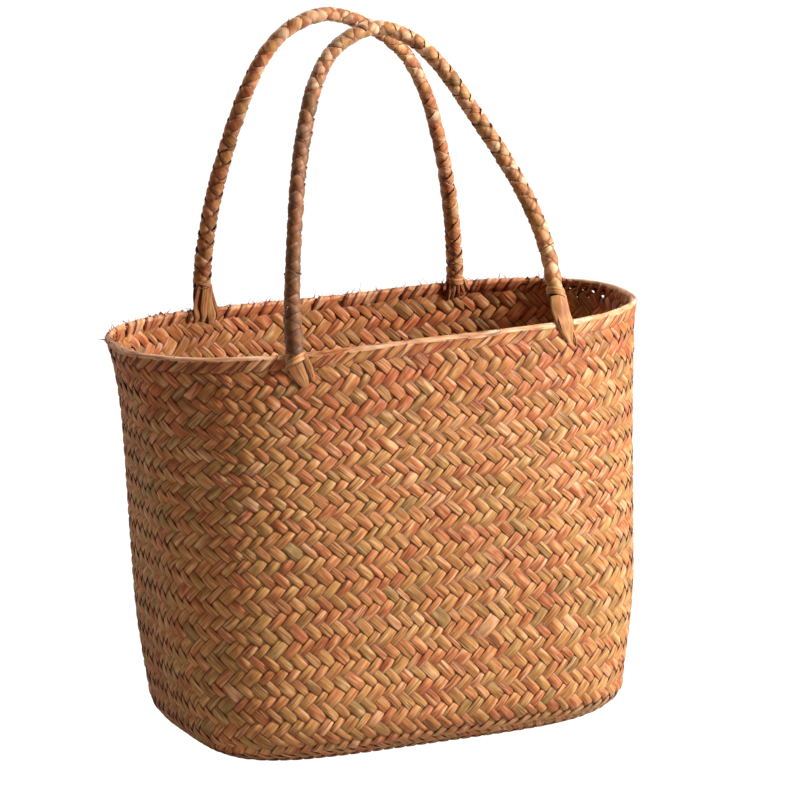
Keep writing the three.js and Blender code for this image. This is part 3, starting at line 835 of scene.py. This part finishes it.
def rim_wrap(number):
    """One wrap from under the weave outside, over the edge, to its cut end inside."""
    at_eyelets = abs(number + 1 - EYELETS_AT[0]) < EYELETS_REACH[0] + 1
    face = "back" if BACK_WRAPS[0] < number < BACK_WRAPS[1] else "front"
    slant, first = WRAP_SLANT_AT_EYELETS, number - WRAP_BEFORE_EYELET
    half = WRAP_HALF_WIDTH / MOUTH_STEP
    if not at_eyelets:
        slant = WRAP_SLANT * (1 + WRAP_UNEVEN * rng.normal())
        half *= 1 + WRAP_UNEVEN * rng.normal()
        first = number + WRAP_UNEVEN_PLACE * rng.normal()
    run = np.linspace(0, rim_run[-1], 20)[:, None]
    aside = STRIP_SECTION[None, :, 0]
    shift = slant * run - SLANT_LOST_INSIDE * np.maximum(run - rim_run[-1] / 2, 0)
    pinch = np.interp(run / rim_run[-1], WRAP_PINCH_PLACES,
                      WRAP_PINCH_AT_EYELETS if at_eyelets else WRAP_PINCH)
    s = first + shift / MOUTH_STEP + half * aside * pinch
    lift = WRAP_OVERLAP * aside + WRAP_WAVER * rng.normal() * np.sin(run * WRAP_WAVES)
    proud = WRAP_PROUD + lift + STRIP_SECTION[None, :, 1] * WRAP_THICKNESS_SHARE
    rings = on_rim(s, np.broadcast_to(run, s.shape), proud)[:, ::-1]
    depth = 0.05 + 0.75 * np.clip(1 - run / WRAP_SHADED_LENGTH, 0, 1)
    # Painted highlight: tones turn pale along the fold over the edge, where it catches the light
    painted_fold_highlight = np.clip(1.6 - np.abs(run - rim_top) / PAINTED_FOLD_HIGHLIGHT_REACH, 0, 1) * PAINTED_FOLD_HIGHLIGHT[face]
    own_tone = rng.uniform(*WRAP_TONES[face])
    tone = own_tone * (1 - painted_fold_highlight) + painted_fold_highlight * rng.uniform(*PAINTED_FOLD_HIGHLIGHT_TONES)
    in_noise = WRAP_NOISE[0] + number * WRAP_NOISE[1]
    return straw_strip(rings, in_noise, tone, depth, loose=WRAP_REDNESS[face])


def rim_fold():
    """The folded ends of the strips under the wraps, all round the mouth."""
    s = np.arange(0, STRIPS_ROUND, 0.5)[:, None]
    over = np.linspace(rim_run[3], rim_run[-3], FOLD_COLUMNS)[None, :]
    shape = (len(s), FOLD_COLUMNS)
    outer, inner = (
        on_rim(np.broadcast_to(s, shape), np.broadcast_to(over, shape), np.full(shape, -depth))
        for depth in FOLD_DEPTHS
    )
    rings = np.concatenate([outer, inner[:, ::-1]], axis=1)
    return straw_strip(rings, FOLD_NOISE, 0.55, 0.5, loose=0.8)


def waver(steps, amount, span):
    """A slow random change along a strip, as a column."""
    return amount * wander(1, steps, span)[0][:, None]


def rim_lip(start, end, number):
    """A pale straw laid along the very edge, over the wraps, from one place on the rim to another."""
    s = np.arange(start, end, LIP_STEP)[:, None]
    taper = np.clip(np.minimum(s - start, end - s) / LIP_TAPER, LIP_END_SHARE, 1)
    half = LIP_HALF_WIDTH * taper * (1 + waver(len(s), *LIP_WAVERS["width"]))
    middle = rim_top - LIP_OUTWARD + waver(len(s), *LIP_WAVERS["place"])
    run = middle + half * LIP_SECTION[None, :, 0]
    proud = LIP_PROUD + waver(len(s), *LIP_WAVERS["height"]) + LIP_SECTION[None, :, 1] * taper
    rings = on_rim(np.broadcast_to(s, run.shape), run, proud)
    # A pale tone that is partly a painted highlight on the lip
    tone = LIP_TONE + waver(len(s), *LIP_WAVERS["tone"])
    in_noise = LIP_NOISE[0] + number * LIP_NOISE[1]
    return straw_strip(rings, in_noise, tone, 0.1, PALE_EDGED_HALF_WIDTH, loose=0.3)


rim_straw = straw_material("rim_straw", 0.4, 0.8)
rim = straw_object("rim_wraps", [rim_wrap(number) for number in range(STRIPS_ROUND)], rim_straw)
fold = straw_object("rim_fold", [rim_fold()], rim_straw, looped=True)
lips = [rim_lip(start, start + LIP_LENGTH + 2, number)
        for number, start in enumerate(np.arange(LIP_FROM, LIP_TO, LIP_LENGTH))]
lip = straw_object("rim_lip", lips, rim_straw)
for piece in (rim, fold, lip):
    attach(piece, "root")
    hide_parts("rim_binding")


# Handles. Each is a bundle of straw, bound along its whole length by four flat strips. Two wind
# one way and two the other, over and under each other, so that they look like overlapping scales.

HANDLE_THICKNESS = 0.0104
CROWN_THICKNESS = 0.0092
# Lengths from a handle's left end where it is thicker, and by what share of its swelling
SWELLING_AT, SWELLING_SHARES = (-0.004, 0.004, 0.02, 0.045), (0.4, 1, 1, 0)
# Places along a handle, as shares of its length, where its tones are given
TONES_AT = (0.3, 0.5, 0.7)

# Each handle's wall, span at the rim, rise, lean over the mouth and shift to the right. Its crown
# lies aside by a share of half the span. Its tones, how mixed they are, the share of pale pieces,
# and its darker straw with painted shade are given at TONES_AT. Its ends are bare of binding for a
# length. A thread is tied round each end at a distance from it with a tilt, and so is a collar,
# with a half width.
# Its arch is given by shares of the rise, and of half the span to the left and to the right.
HANDLES = [
    {
        "name": "front", "wall": -1, "span": 0.174, "rise": 0.1925, "lean": math.radians(22),
        "shift": 0.0037, "crown": 0.01, "swelling": 0.0007,
        "tones": (0.0, 0.05, 0.20), "mixed": (0.5, 0.5, 0.35), "pale": (0.15, 0.75, 0.3),
        "dark_straw_and_painted_shade": (0.74, 0.46, 0.3),
        "bare": (-0.0045, 0.0165), "threads": [(0.049, 0.0003), (0.047, 0.0016)],
        "collars": [(-0.0035, 0.0030, 0.0024), (0.0185, -0.0020, 0.0024)],
        "up": [0, 0.13, 0.27, 0.42, 0.57, 0.72, 0.85, 0.95],
        "left": [1, 0.965, 0.905, 0.828, 0.740, 0.626, 0.495, 0.304],
        "right": [1, 1.002, 0.985, 0.902, 0.766, 0.605, 0.455, 0.271],
    },
    {
        "name": "back", "wall": 1, "span": 0.1715, "rise": 0.181, "lean": math.radians(7.5),
        "shift": 0.0018, "crown": -0.09, "swelling": 0.0002,
        "tones": (0.30, 0.35, 0.40), "mixed": (0.6, 0.5, 0.55), "pale": (0.1, 0.85, 0.15),
        "dark_straw_and_painted_shade": (0.45, 0.3, 0.45),
        "bare": (0.0145, 0.0015), "threads": [(0.0150, 0.0004), (0.0145, 0.0006)],
        "collars": [(0.0175, -0.0016, 0.0010), (0.0020, -0.0006, 0.0021)],
        "up": [0, 0.13, 0.27, 0.42, 0.57, 0.72, 0.85, 0.95],
        "left": [1, 0.998, 0.968, 0.905, 0.815, 0.705, 0.574, 0.385],
        "right": [1, 0.982, 0.947, 0.890, 0.812, 0.700, 0.531, 0.250],
    },
]


def mouth_at(x, wall):
    """The middle of the wall at the mouth, its outward direction, and its count of strips."""
    half_length, half_depth, power, _ = section_at(1.0, 0.0)
    y = wall * half_depth * (1 - abs(x / half_length) ** power) ** (1 / power)
    normal = Vector((
        math.copysign(abs(x / half_length) ** (power - 1) / half_length, x),
        math.copysign(abs(y / half_depth) ** (power - 1) / half_depth, y),
        0.0,
    )).normalized()
    turns = np.linspace(0, 1, 2000, endpoint=False)
    ring_x, ring_y = outline(half_length, half_depth, power, turns)
    turn = turns[np.argmin(np.hypot(ring_x - x, ring_y - y))]
    height = BODY_HEIGHT + rim_wave(turn)
    s = ((turn - 0.75) * STRIPS_ROUND + BASE_LONG / 2) % STRIPS_ROUND
    return np.array(Vector((x, y, height)) - normal * WALL / 2), np.array(normal), s


def smooth_line(points, samples=30):
    """A smooth curve through points that are unevenly spaced."""
    points = np.array(points)
    points = np.concatenate([[2 * points[0] - points[1]], points, [2 * points[-1] - points[-2]]])
    t = np.linspace(0, 1, samples, endpoint=False)[:, None]
    curve = []
    for a, b, c, d in zip(points, points[1:], points[2:], points[3:]):
        before, here, after = (math.sqrt(np.linalg.norm(q - p)) for p, q in ((a, b), (b, c), (c, d)))
        start = ((b - a) / before - (c - a) / (before + here) + (c - b) / here) * here
        end = ((c - b) / here - (d - b) / (here + after) + (d - c) / after) * here
        curve.append(b + start * t + (3 * (c - b) - 2 * start - end) * t**2
                     + (2 * (b - c) + start + end) * t**3)
    return np.concatenate(curve + [points[-2:-1]])


def runs_along(line):
    """Length along a line up to each of its points."""
    return np.concatenate([[0], np.cumsum(np.linalg.norm(np.diff(line, axis=0), axis=1))])


def read_line(line, runs, at):
    """Points and directions on a line at lengths along it, and straight on beyond its ends."""
    tangents = np.gradient(line, runs, axis=0)
    tangents /= np.linalg.norm(tangents, axis=1, keepdims=True)
    inside = np.clip(at, 0, runs[-1])
    point = np.stack([np.interp(inside, runs, line[:, k]) for k in range(3)], axis=-1)
    tangent = np.stack([np.interp(inside, runs, tangents[:, k]) for k in range(3)], axis=-1)
    return point + tangent * (at - inside)[..., None], tangent


def handle_line(handle):
    """The middle line of a handle, from the rim at its left over the crown to its right."""
    ends = [mouth_at(handle["shift"] + side * handle["span"] / 2, handle["wall"])[0]
            for side in (-1, 1)]
    middle, half = (ends[0] + ends[1]) / 2, (ends[1] - ends[0]) / 2
    climb = np.array([0, -handle["wall"] * math.sin(handle["lean"]), math.cos(handle["lean"])])
    climb = climb * handle["rise"]
    left = [middle - half * out + climb * up for out, up in zip(handle["left"], handle["up"])]
    right = [middle + half * out + climb * up for out, up in zip(handle["right"], handle["up"])]
    return smooth_line(left + [middle + half * handle["crown"] + climb] + right[::-1])


BRAID_RISE = math.radians(34)
BRAID_PITCH = 0.0208
BRAID_WIDTH = 0.0086
BRAID_WAVE = 0.00076
BRAID_STEP = 0.0009
# The two ways round differ a little in pitch, and start at an angle from the handle's side
BRAID_UNEVEN = 0.03
BRAID_START = 0.8
# Waver of a strip's angle, of its width round a mean share, and of its height, each with its span
BRAID_ANGLE_WAVER, BRAID_WIDTH_WAVER, BRAID_HEIGHT_WAVER = (0.10, 40), (0.05, 14), (0.00012, 12)
BRAID_MEAN_SHARE = 0.50
BRAID_WAVE_FULLNESS = 0.35
BRAID_SUNK = 0.0003
# The scales turn over at the crown, within one part in this many of half the handle
BRAID_TURNOVER = 3
# Shade of a strip where it passes under another, and from its middle to its tucked edge
BRAID_UNDER_SHADE = 0.66
TUCKED_PLACES, TUCKED_SHADES = (0.4, 0.86, 1), (0, 0.7, 1)
PALE_TONE, PALE_TONE_RANGE = 1.0, 0.3
# Where the strips start in the noise of the straw, and their step from strip to strip
BRAID_NOISE, BUNDLE_NOISE, THREAD_NOISE, COLLAR_NOISE = (200, 1.7), 4.4, 70, 80
# The bundle under the binding: its step, its corners and its depth under the outer face
BUNDLE_STEP, BUNDLE_CORNERS, BUNDLE_DEPTH = 0.004, 14, 0.0014
# The rings tied round the handles: half width of a thread, thicknesses, and height of a collar
THREAD_HALF_WIDTH, THREAD_THICKNESS = 0.0003, 0.0005
COLLAR_THICKNESS, COLLAR_PROUD, COLLAR_TONE = 0.0006, 0.0001, 0.42
RING_CORNERS = 28
# How far a strip's edge nearer the crown stands up, so that it shows as a scale
BRAID_LIFT = 0.00058
# Section of a strip round the handle: share of its half width, and height over its middle
BRAID_SECTION = np.array([
    (-1, 0.00016), (-0.86, 0.00030), (-0.4, 0.00036), (0, 0.00038), (0.4, 0.00036), (0.86, 0.00030),
    (1, 0.00016),
    (1, -0.00016), (0.86, -0.00026), (0.4, -0.00026), (0, -0.00026), (-0.4, -0.00026),
    (-0.86, -0.00026), (-1, -0.00016),
])


def on_handle(handle, run, angle, out):
    """A point at a length along a handle, an angle round it and a distance from its middle."""
    point, tangent = read_line(handle["line"], handle["runs"], run)
    across = np.array([0, math.cos(handle["lean"]), handle["wall"] * math.sin(handle["lean"])])
    in_plane = np.cross(np.broadcast_to(across, tangent.shape), tangent)
    in_plane /= np.linalg.norm(in_plane, axis=-1, keepdims=True)
    return (point + in_plane * (np.cos(angle) * out)[..., None]
            + across * (np.sin(angle) * out)[..., None])


def handle_radius(handle, run):
    """Radius of a handle at a length along it: it thins to the crown and swells by its left end."""
    share = np.clip(run / handle["runs"][-1], 0, 1)
    thinning = (HANDLE_THICKNESS - CROWN_THICKNESS) * np.sin(math.pi * share)
    swelling = np.interp(run, SWELLING_AT, SWELLING_SHARES) * handle["swelling"]
    return (HANDLE_THICKNESS - thinning) / 2 + swelling


def braid_strip(handle, way, strand, number):
    """One of the two strips that wind round a handle one way, as scales between its bare ends."""
    end = handle["runs"][-1] - handle["bare"][1]
    run = np.arange(handle["bare"][0], end, BRAID_STEP)[:, None]
    start = math.pi * strand + handle["wall"] * BRAID_START
    pitches = {sign: BRAID_PITCH * (1 + BRAID_UNEVEN * sign) for sign in (1, -1)}
    turn = way * 2 * math.pi * run / pitches[way] + start + waver(len(run), *BRAID_ANGLE_WAVER)
    crossing = 2 * run * (1 / pitches[1] + 1 / pitches[-1])
    wave = way * np.cos(math.pi * crossing)
    wave = wave * (1 + BRAID_WAVE_FULLNESS - BRAID_WAVE_FULLNESS * wave**2)
    half = BRAID_WIDTH * (BRAID_MEAN_SHARE + waver(len(run), *BRAID_WIDTH_WAVER))
    reach = half / math.sin(2 * BRAID_RISE) * BRAID_SECTION[None, :, 0]
    radius = handle_radius(handle, run) - BRAID_WAVE - BRAID_SUNK
    lift = waver(len(run), *BRAID_HEIGHT_WAVER)
    to_crown = 1 - 2 * run / handle["runs"][-1]
    turned_over = np.clip(BRAID_TURNOVER * to_crown, -1, 1)
    lift = lift + BRAID_LIFT * turned_over * BRAID_SECTION[None, :, 0]
    out = radius + BRAID_WAVE * wave + lift + BRAID_SECTION[None, :, 1]
    angle = turn - way * reach * math.cos(BRAID_RISE) / radius
    rings = on_handle(handle, run + reach * math.sin(BRAID_RISE), angle, out)
    if way > 0:
        rings = rings[:, ::-1]
    pieces = np.floor(crossing - crossing[0] + 0.5).astype(int)[:, 0]
    share = run[:, 0] / handle["runs"][-1]
    mixed, mean, pale, dark_straw_and_painted_shade = (
        np.interp(share, TONES_AT, handle[key]) for key in ("mixed", "tones", "pale", "dark_straw_and_painted_shade")
    )
    tones = rng.random(pieces.max() + 1)[pieces] * mixed + mean
    is_pale = rng.random(pieces.max() + 1)[pieces] < pale
    pale_tones = PALE_TONE + PALE_TONE_RANGE * rng.random(pieces.max() + 1)[pieces]
    tones = np.where(is_pale, pale_tones, tones)
    # Painted shade where the strip passes under another, and the handle's darker straw with painted
    # shade
    under = np.maximum(np.clip(BRAID_UNDER_SHADE * (1 - wave), 0, 1), dark_straw_and_painted_shade[:, None])
    tucked_side = -np.sign(to_crown) * BRAID_SECTION[None, :, 0]
    depth = np.maximum(under, np.interp(tucked_side, TUCKED_PLACES, TUCKED_SHADES))
    in_noise = BRAID_NOISE[0] + number * BRAID_NOISE[1]
    return straw_strip(rings, in_noise, tones[:, None], depth, PALE_EDGED_HALF_WIDTH, loose=0.25)


def handle_bundle(handle):
    """The bundle of straw under the binding, from one end of a handle to the other."""
    run = np.arange(0.0, handle["runs"][-1], BUNDLE_STEP)[:, None]
    angle = np.linspace(0, 2 * math.pi, BUNDLE_CORNERS, endpoint=False)[None, :]
    out = np.broadcast_to(handle_radius(handle, run) - BUNDLE_DEPTH, (len(run), BUNDLE_CORNERS))
    run = np.broadcast_to(run, out.shape)
    rings = on_handle(handle, run, np.broadcast_to(angle, out.shape), out)
    # Painted shade on the bundle, which shows only in the gaps of the binding
    return straw_strip(rings[:, ::-1], BUNDLE_NOISE, 0.5, 0.9)


def ring_round(handle, run, tilt, half_width, thickness, proud, in_noise, tone, depth):
    """A strip tied once round a handle, slanted by its tilt."""
    angle = np.linspace(0, 2 * math.pi, RING_CORNERS, endpoint=False)[:, None]
    middle = run + tilt * np.cos(angle) + half_width * BRAID_SECTION[None, :, 0]
    rise = BRAID_SECTION[None, :, 1] * thickness / COLLAR_THICKNESS
    out = handle_radius(handle, run) + proud + rise
    out = np.broadcast_to(out, middle.shape)
    rings = on_handle(handle, middle, np.broadcast_to(angle, middle.shape), out)
    return straw_strip(rings[:, ::-1], in_noise, tone, depth, loose=0.2)


wrapped_straw = straw_material("wrapped_straw", 0.15, 0.5, sheen=0.38)
for handle in HANDLES:
    handle["line"] = handle_line(handle)
    handle["runs"] = runs_along(handle["line"])
    whole = handle["runs"][-1]
    rings = []
    for side, (run, tilt) in enumerate(handle["threads"]):
        run = run if side == 0 else whole - run
        rings.append(ring_round(handle, run, tilt, THREAD_HALF_WIDTH, THREAD_THICKNESS, 0.0,
                                THREAD_NOISE + side, 0.5, 1.0))
    for side, (run, tilt, half_width) in enumerate(handle["collars"]):
        run = run if side == 0 else whole - run
        rings.append(ring_round(handle, run, tilt, half_width, COLLAR_THICKNESS, COLLAR_PROUD,
                                COLLAR_NOISE + side, COLLAR_TONE, 0.2))
    ties = straw_object(f"{handle['name']}_handle_ties", rings, wrapped_straw, looped=True)
    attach(ties, "root")
    braids = [
        braid_strip(handle, way, strand, 4 * way + strand)
        for way in (1, -1) for strand in (0, 1)
    ]
    bound = straw_object(f"{handle['name']}_handle_binding", braids, wrapped_straw)
    bundle = straw_object(f"{handle['name']}_handle_bundle", [handle_bundle(handle)], wrapped_straw)
    for piece in (bound, bundle):
        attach(piece, "root")
        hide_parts(f"{handle['name']}_handle")


# Feet. Each handle's bundle opens where it stands on the rim. Outside, a broad tongue and a thin
# strip come down and tuck into the weave, and inside, the rest of the straw fans out.

FOOT_TONES = {"front_left": 0.46, "front_right": 0.38, "back_left": 0.50, "back_right": 0.75}
# Strips of each foot: face of the wall, half widths, and places as height over the rim and
# distance towards the bag's right, all in millimetres
FEET = {
    "front_left": [
        ("outside", (4.6, 5.0, 4.6, 3.9, 2.2),
         [(2, -2.6), (-4, -2.0), (-10, 0.0), (-15, 2.0), (-19.5, 3.8)]),
        ("outside", (1.5, 1.8, 2.0, 1.8, 1.0),
         [(0, 4.2), (-3, 5.4), (-8, 7.0), (-13, 8.0), (-16.5, 8.4)]),
    ],
    "front_right": [
        ("outside", (6.4, 7.0, 6.6, 4.8, 1.4),
         [(18, 0.0), (9, 0.4), (0, 1.4), (-6, 3.2), (-12.5, 5.4)]),
        ("outside", (1.2, 1.4, 1.4, 1.0, 0.4),
         [(6, -3.6), (0, -2.6), (-5, -0.6), (-9, 2.0), (-12, 4.6)]),
        ("outside", (0.5, 0.6, 0.6, 0.5, 0.3),
         [(4, 3.8), (-2, 5.6), (-8, 8.0), (-12, 9.4), (-15, 10.2)]),
    ],
    "back_left": [
        ("inside", (1.8, 2.1, 2.2, 2.0, 1.4),
         [(15.5, -3.4), (8, -4.4), (2, -5.6), (-3, -6.4), (-7, -7.0)]),
        ("inside", (2.2, 2.5, 2.5, 2.2, 1.4),
         [(15.5, -0.4), (8, -0.8), (2, -1.4), (-3, -1.8), (-7, -2.0)]),
        ("inside", (2.2, 2.8, 3.4, 3.2, 1.8),
         [(15.5, 3.0), (8, 4.0), (2, 4.4), (-4, 4.6), (-9, 4.2)]),
        ("inside", (0.8, 1.0, 1.2, 1.0, 0.6),
         [(14.5, 4.6), (8, 6.4), (2, 8.2), (-2, 9.0), (-6, 9.4)]),
        ("outside", (3.6, 4.4, 4.6, 3.6, 0.9),
         [(15, 0), (8, 0), (0, 1.0), (-8, 3.2), (-19, 5.4)]),
    ],
    "back_right": [
        ("inside", (0.7, 0.8, 0.7, 0.5, 0.2),
         [(4, -1.8), (0, -3.0), (-3, -3.6), (-7, -4.0), (-10.5, -4.4)]),
        ("inside", (0.8, 1.0, 0.9, 0.7, 0.3),
         [(4, -3.8), (1, -5.6), (-1, -6.6), (-3, -7.4), (-5, -8.0)]),
        ("inside", (0.7, 0.9, 0.9, 0.6, 0.2),
         [(4, -0.4), (0, -0.6), (-3, -0.6), (-6, -1.0), (-9, -1.2)]),
        ("inside", (0.7, 0.9, 0.9, 0.6, 0.3),
         [(4, 1.4), (0, 1.8), (-3, 2.2), (-6, 2.2), (-8.5, 2.6)]),
        ("inside", (0.7, 0.9, 0.9, 0.7, 0.3),
         [(4, 2.8), (0, 4.2), (-3, 5.2), (-5, 5.8), (-7.5, 6.4)]),
        ("inside", (0.7, 0.9, 0.9, 0.7, 0.3),
         [(4, 4.0), (1, 6.2), (-1, 7.6), (-3, 8.6), (-5, 9.4)]),
        ("outside", (3.6, 4.4, 4.6, 3.6, 0.9),
         [(4, 0), (1, 0), (-4, 1.0), (-10, 3.2), (-19, 5.4)]),
    ],
}
# Distance from the middle of the wall that a foot keeps as it goes down over the rim
FOOT_DROPS = np.array([0, 3, 7, 12, 30]) / 1000
FOOT_OUTS = np.array([4.6, 3.9, 2.9, 2.3, 2.0]) / 1000
# Radius of the opened bundle, and the least distance from its middle over the rim and under it
FOOT_RADIUS, FOOT_OUT_OVER_RIM, FOOT_OUT_UNDER_RIM = 0.0048, 0.0026, 0.0028
FOOT_CLEARANCE = 0.0002
FOOT_TIP_OUT = 0.0013
FOOT_THICKNESS_SHARE = 1.4
# A strip's edges curl back by its half width squared over this radius, less under the rim
CURL_RADIUS, CURL_HEIGHT, LEAST_CURL = 12.0, 0.02, 0.12
FOOT_TONE_RANGE = 0.08
FOOT_NOISE = (300, 3.3)


def ribbon(line, faces, half_widths, curl):
    """Rings of a flat strip along a line. Its edges curl back from the way that it faces."""
    tangents = np.gradient(line, axis=0)
    sideways = np.cross(tangents, faces)
    sideways /= np.linalg.norm(sideways, axis=1, keepdims=True)
    faces = np.cross(sideways, tangents)
    faces /= np.linalg.norm(faces, axis=1, keepdims=True)
    aside = BRAID_SECTION[None, :, 0]
    rise = BRAID_SECTION[None, :, 1] * FOOT_THICKNESS_SHARE - curl[:, None] * aside**2
    return (line[:, None] + sideways[:, None] * (aside * half_widths[:, None])[..., None]
            + faces[:, None] * rise[..., None])


def foot_strip(handle, side, face, half_widths, places, foot_tone, number):
    """A strip of a foot along its places, first on the handle's bundle and then on the wall."""
    _, normal, s = mouth_at(handle["shift"] + side * handle["span"] / 2, handle["wall"])
    way = 1 if face == "outside" else -1
    facing = normal * way
    rightward = np.array([1.0, 0, 0]) - normal * normal[0]
    rightward /= np.linalg.norm(rightward)
    points, curls = [], []
    for number_of_place, (height, aside) in enumerate(places):
        height, aside = height / 1000, aside / 1000
        round_tube = math.sqrt(max(FOOT_RADIUS**2 - aside**2, 0))
        if height > 0:
            run = height if side < 0 else handle["runs"][-1] - height
            middle = read_line(handle["line"], handle["runs"], np.array([run]))[0][0]
            out = max(round_tube, FOOT_OUT_OVER_RIM)
            points.append(middle + facing * out + rightward * aside)
        else:
            row = np.interp(BODY_HEIGHT + height, mouth_heights, heights_of_rows)
            at = s + aside / MOUTH_STEP * -handle["wall"]
            low, out_at = (between(grid, np.array([row]), np.array([at]), around=True)[0]
                           for grid in (wall_points, wall_normals))
            out = min(np.interp(-height, FOOT_DROPS, FOOT_OUTS),
                      max(round_tube, FOOT_OUT_UNDER_RIM) + FOOT_CLEARANCE)
            if number_of_place == len(places) - 1:
                out = FOOT_TIP_OUT
            points.append(low + out_at * out * way)
        curl = half_widths[number_of_place] ** 2 / CURL_RADIUS / 1000
        curls.append(curl * np.clip(0.5 + height / CURL_HEIGHT, LEAST_CURL, 1))
    line = smooth_line(points, 7)
    share = np.linspace(0, 4, len(line))
    widths = np.interp(share, range(5), half_widths) / 1000
    rings = ribbon(line, np.broadcast_to(facing, line.shape), widths,
                   np.interp(share, range(5), curls))
    tone = foot_tone + rng.uniform(-FOOT_TONE_RANGE, FOOT_TONE_RANGE)
    return straw_strip(rings, FOOT_NOISE[0] + FOOT_NOISE[1] * number, tone, 0.1, loose=0.2)


for handle in HANDLES:
    for side_name, side in (("left", -1), ("right", 1)):
        name = f"{handle['name']}_{side_name}"
        made = [foot_strip(handle, side, *strip, FOOT_TONES[name], number)
                for number, strip in enumerate(FEET[name])]
        foot = straw_object(f"{name}_foot_strips", made, wrapped_straw)
        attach(foot, "root")
        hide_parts(f"{name}_foot")


# Loose fibres. Straw frays where it is cut and bent: most along the back of the rim, fewer along
# its front, and short tips on the handles.

FIBRE_RADIUS = 0.00017
FIBRES_ON_BACK_RIM = 420
FIBRES_ON_FRONT_RIM = 70
FIBRES_ON_A_HANDLE = 46
FIBRE_STEPS, FIBRE_CORNERS = 6, 4
FIBRE_BEND = 0.35
# The shortest fibre, and how much longer others are on the rim and on a handle
FIBRE_LENGTH, LONGER_ON_RIM, LONGER_ON_HANDLE = 0.0014, 0.0036, 0.0026
FIBRE_TONES = (0.6, 1.0)
FIBRE_HALF_WIDTH = 0.001
FIBRE_NOISE = 500
# Stretches of the rim by count of strips, and how far fibres scatter across its top
BACK_STRETCH, FRONT_STRETCH = (47, 92), (-10, 44)
SCATTER_ACROSS_RIM = 0.0018
# Radii on a handle that give the way out of it: the fibres start a little inside its outer face
HANDLE_FACE, OVER_HANDLE_FACE, FIBRE_ROOT = 0.0051, 0.0061, 0.0058


def fibre(start, heading, length, number):
    """A thin straw that tapers and bends from a point."""
    steps = np.linspace(0, 1, FIBRE_STEPS)[:, None]
    heading = heading / np.linalg.norm(heading)
    bend = rng.normal(size=3) * FIBRE_BEND
    line = start + (heading * steps + bend * steps**2) * length
    sideways = np.cross(heading, rng.normal(size=3))
    sideways /= np.linalg.norm(sideways)
    corner = np.linspace(0, 2 * math.pi, FIBRE_CORNERS, endpoint=False)[:, None]
    around = np.cos(corner) * sideways + np.sin(corner) * np.cross(heading, sideways)
    thin = FIBRE_RADIUS * (1 + 2.2 * rng.random() ** 4) * (1.1 - 0.9 * steps)
    rings = line[:, None] + around[None] * thin[..., None]
    tone = rng.uniform(*FIBRE_TONES)
    return straw_strip(rings, FIBRE_NOISE + number, tone, 0.3, FIBRE_HALF_WIDTH, loose=0.9)


def rim_fibre(s, number):
    """A fibre that stands up from the top of the rim, turned mostly along it."""
    run = rim_run[8] + SCATTER_ACROSS_RIM * rng.normal()
    at = np.array([s]), np.array([np.clip(run, rim_run[2], rim_run[-3])])
    start = on_rim(*at, np.array([0.0001]))[0]
    out = on_rim(*at, np.array([0.0011]))[0] - start
    along = on_rim(at[0] + 0.2, at[1], np.array([0.0001]))[0] - start
    along /= np.linalg.norm(along)
    heading = out * 500 + np.array([0, 0, 0.3]) + along * rng.normal(-0.3, 1.1)
    return fibre(start, heading, FIBRE_LENGTH + LONGER_ON_RIM * rng.random() ** 1.5, number)


def handle_fibre(handle, number):
    """A short tip that stands off a handle, turned along it."""
    run = handle["runs"][-1] * rng.uniform(0.05, 0.95)
    angle = rng.uniform(0, 2 * math.pi)
    places = [on_handle(handle, np.array([run + step]), np.array([angle]), np.array([out]))[0]
              for step, out in ((0, HANDLE_FACE), (0, OVER_HANDLE_FACE), (0.001, HANDLE_FACE))]
    outward, forward = places[1] - places[0], places[2] - places[0]
    start = places[0] + outward * (handle_radius(handle, run) - FIBRE_ROOT) * 1000
    heading = outward * 700 + forward * 1000 * rng.choice([-1, 1]) * rng.uniform(0.5, 1.5)
    return fibre(start, heading, FIBRE_LENGTH + LONGER_ON_HANDLE * rng.random() ** 2, number)


back_of_rim = rng.uniform(*BACK_STRETCH, FIBRES_ON_BACK_RIM)
front_of_rim = rng.uniform(*FRONT_STRETCH, FIBRES_ON_FRONT_RIM)
frays = [rim_fibre(s, number) for number, s in enumerate([*back_of_rim, *front_of_rim])]
tips = [handle_fibre(handle, number) for handle in HANDLES for number in range(FIBRES_ON_A_HANDLE)]
for name, fibres, material, slot in (
    ("rim_fibres", frays, rim_straw, "rim_straw"),
    ("handle_fibres", tips, wrapped_straw, "wrapped_straw"),
):
    loose_fibres = straw_object(name, fibres, material)
    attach(loose_fibres, "root")
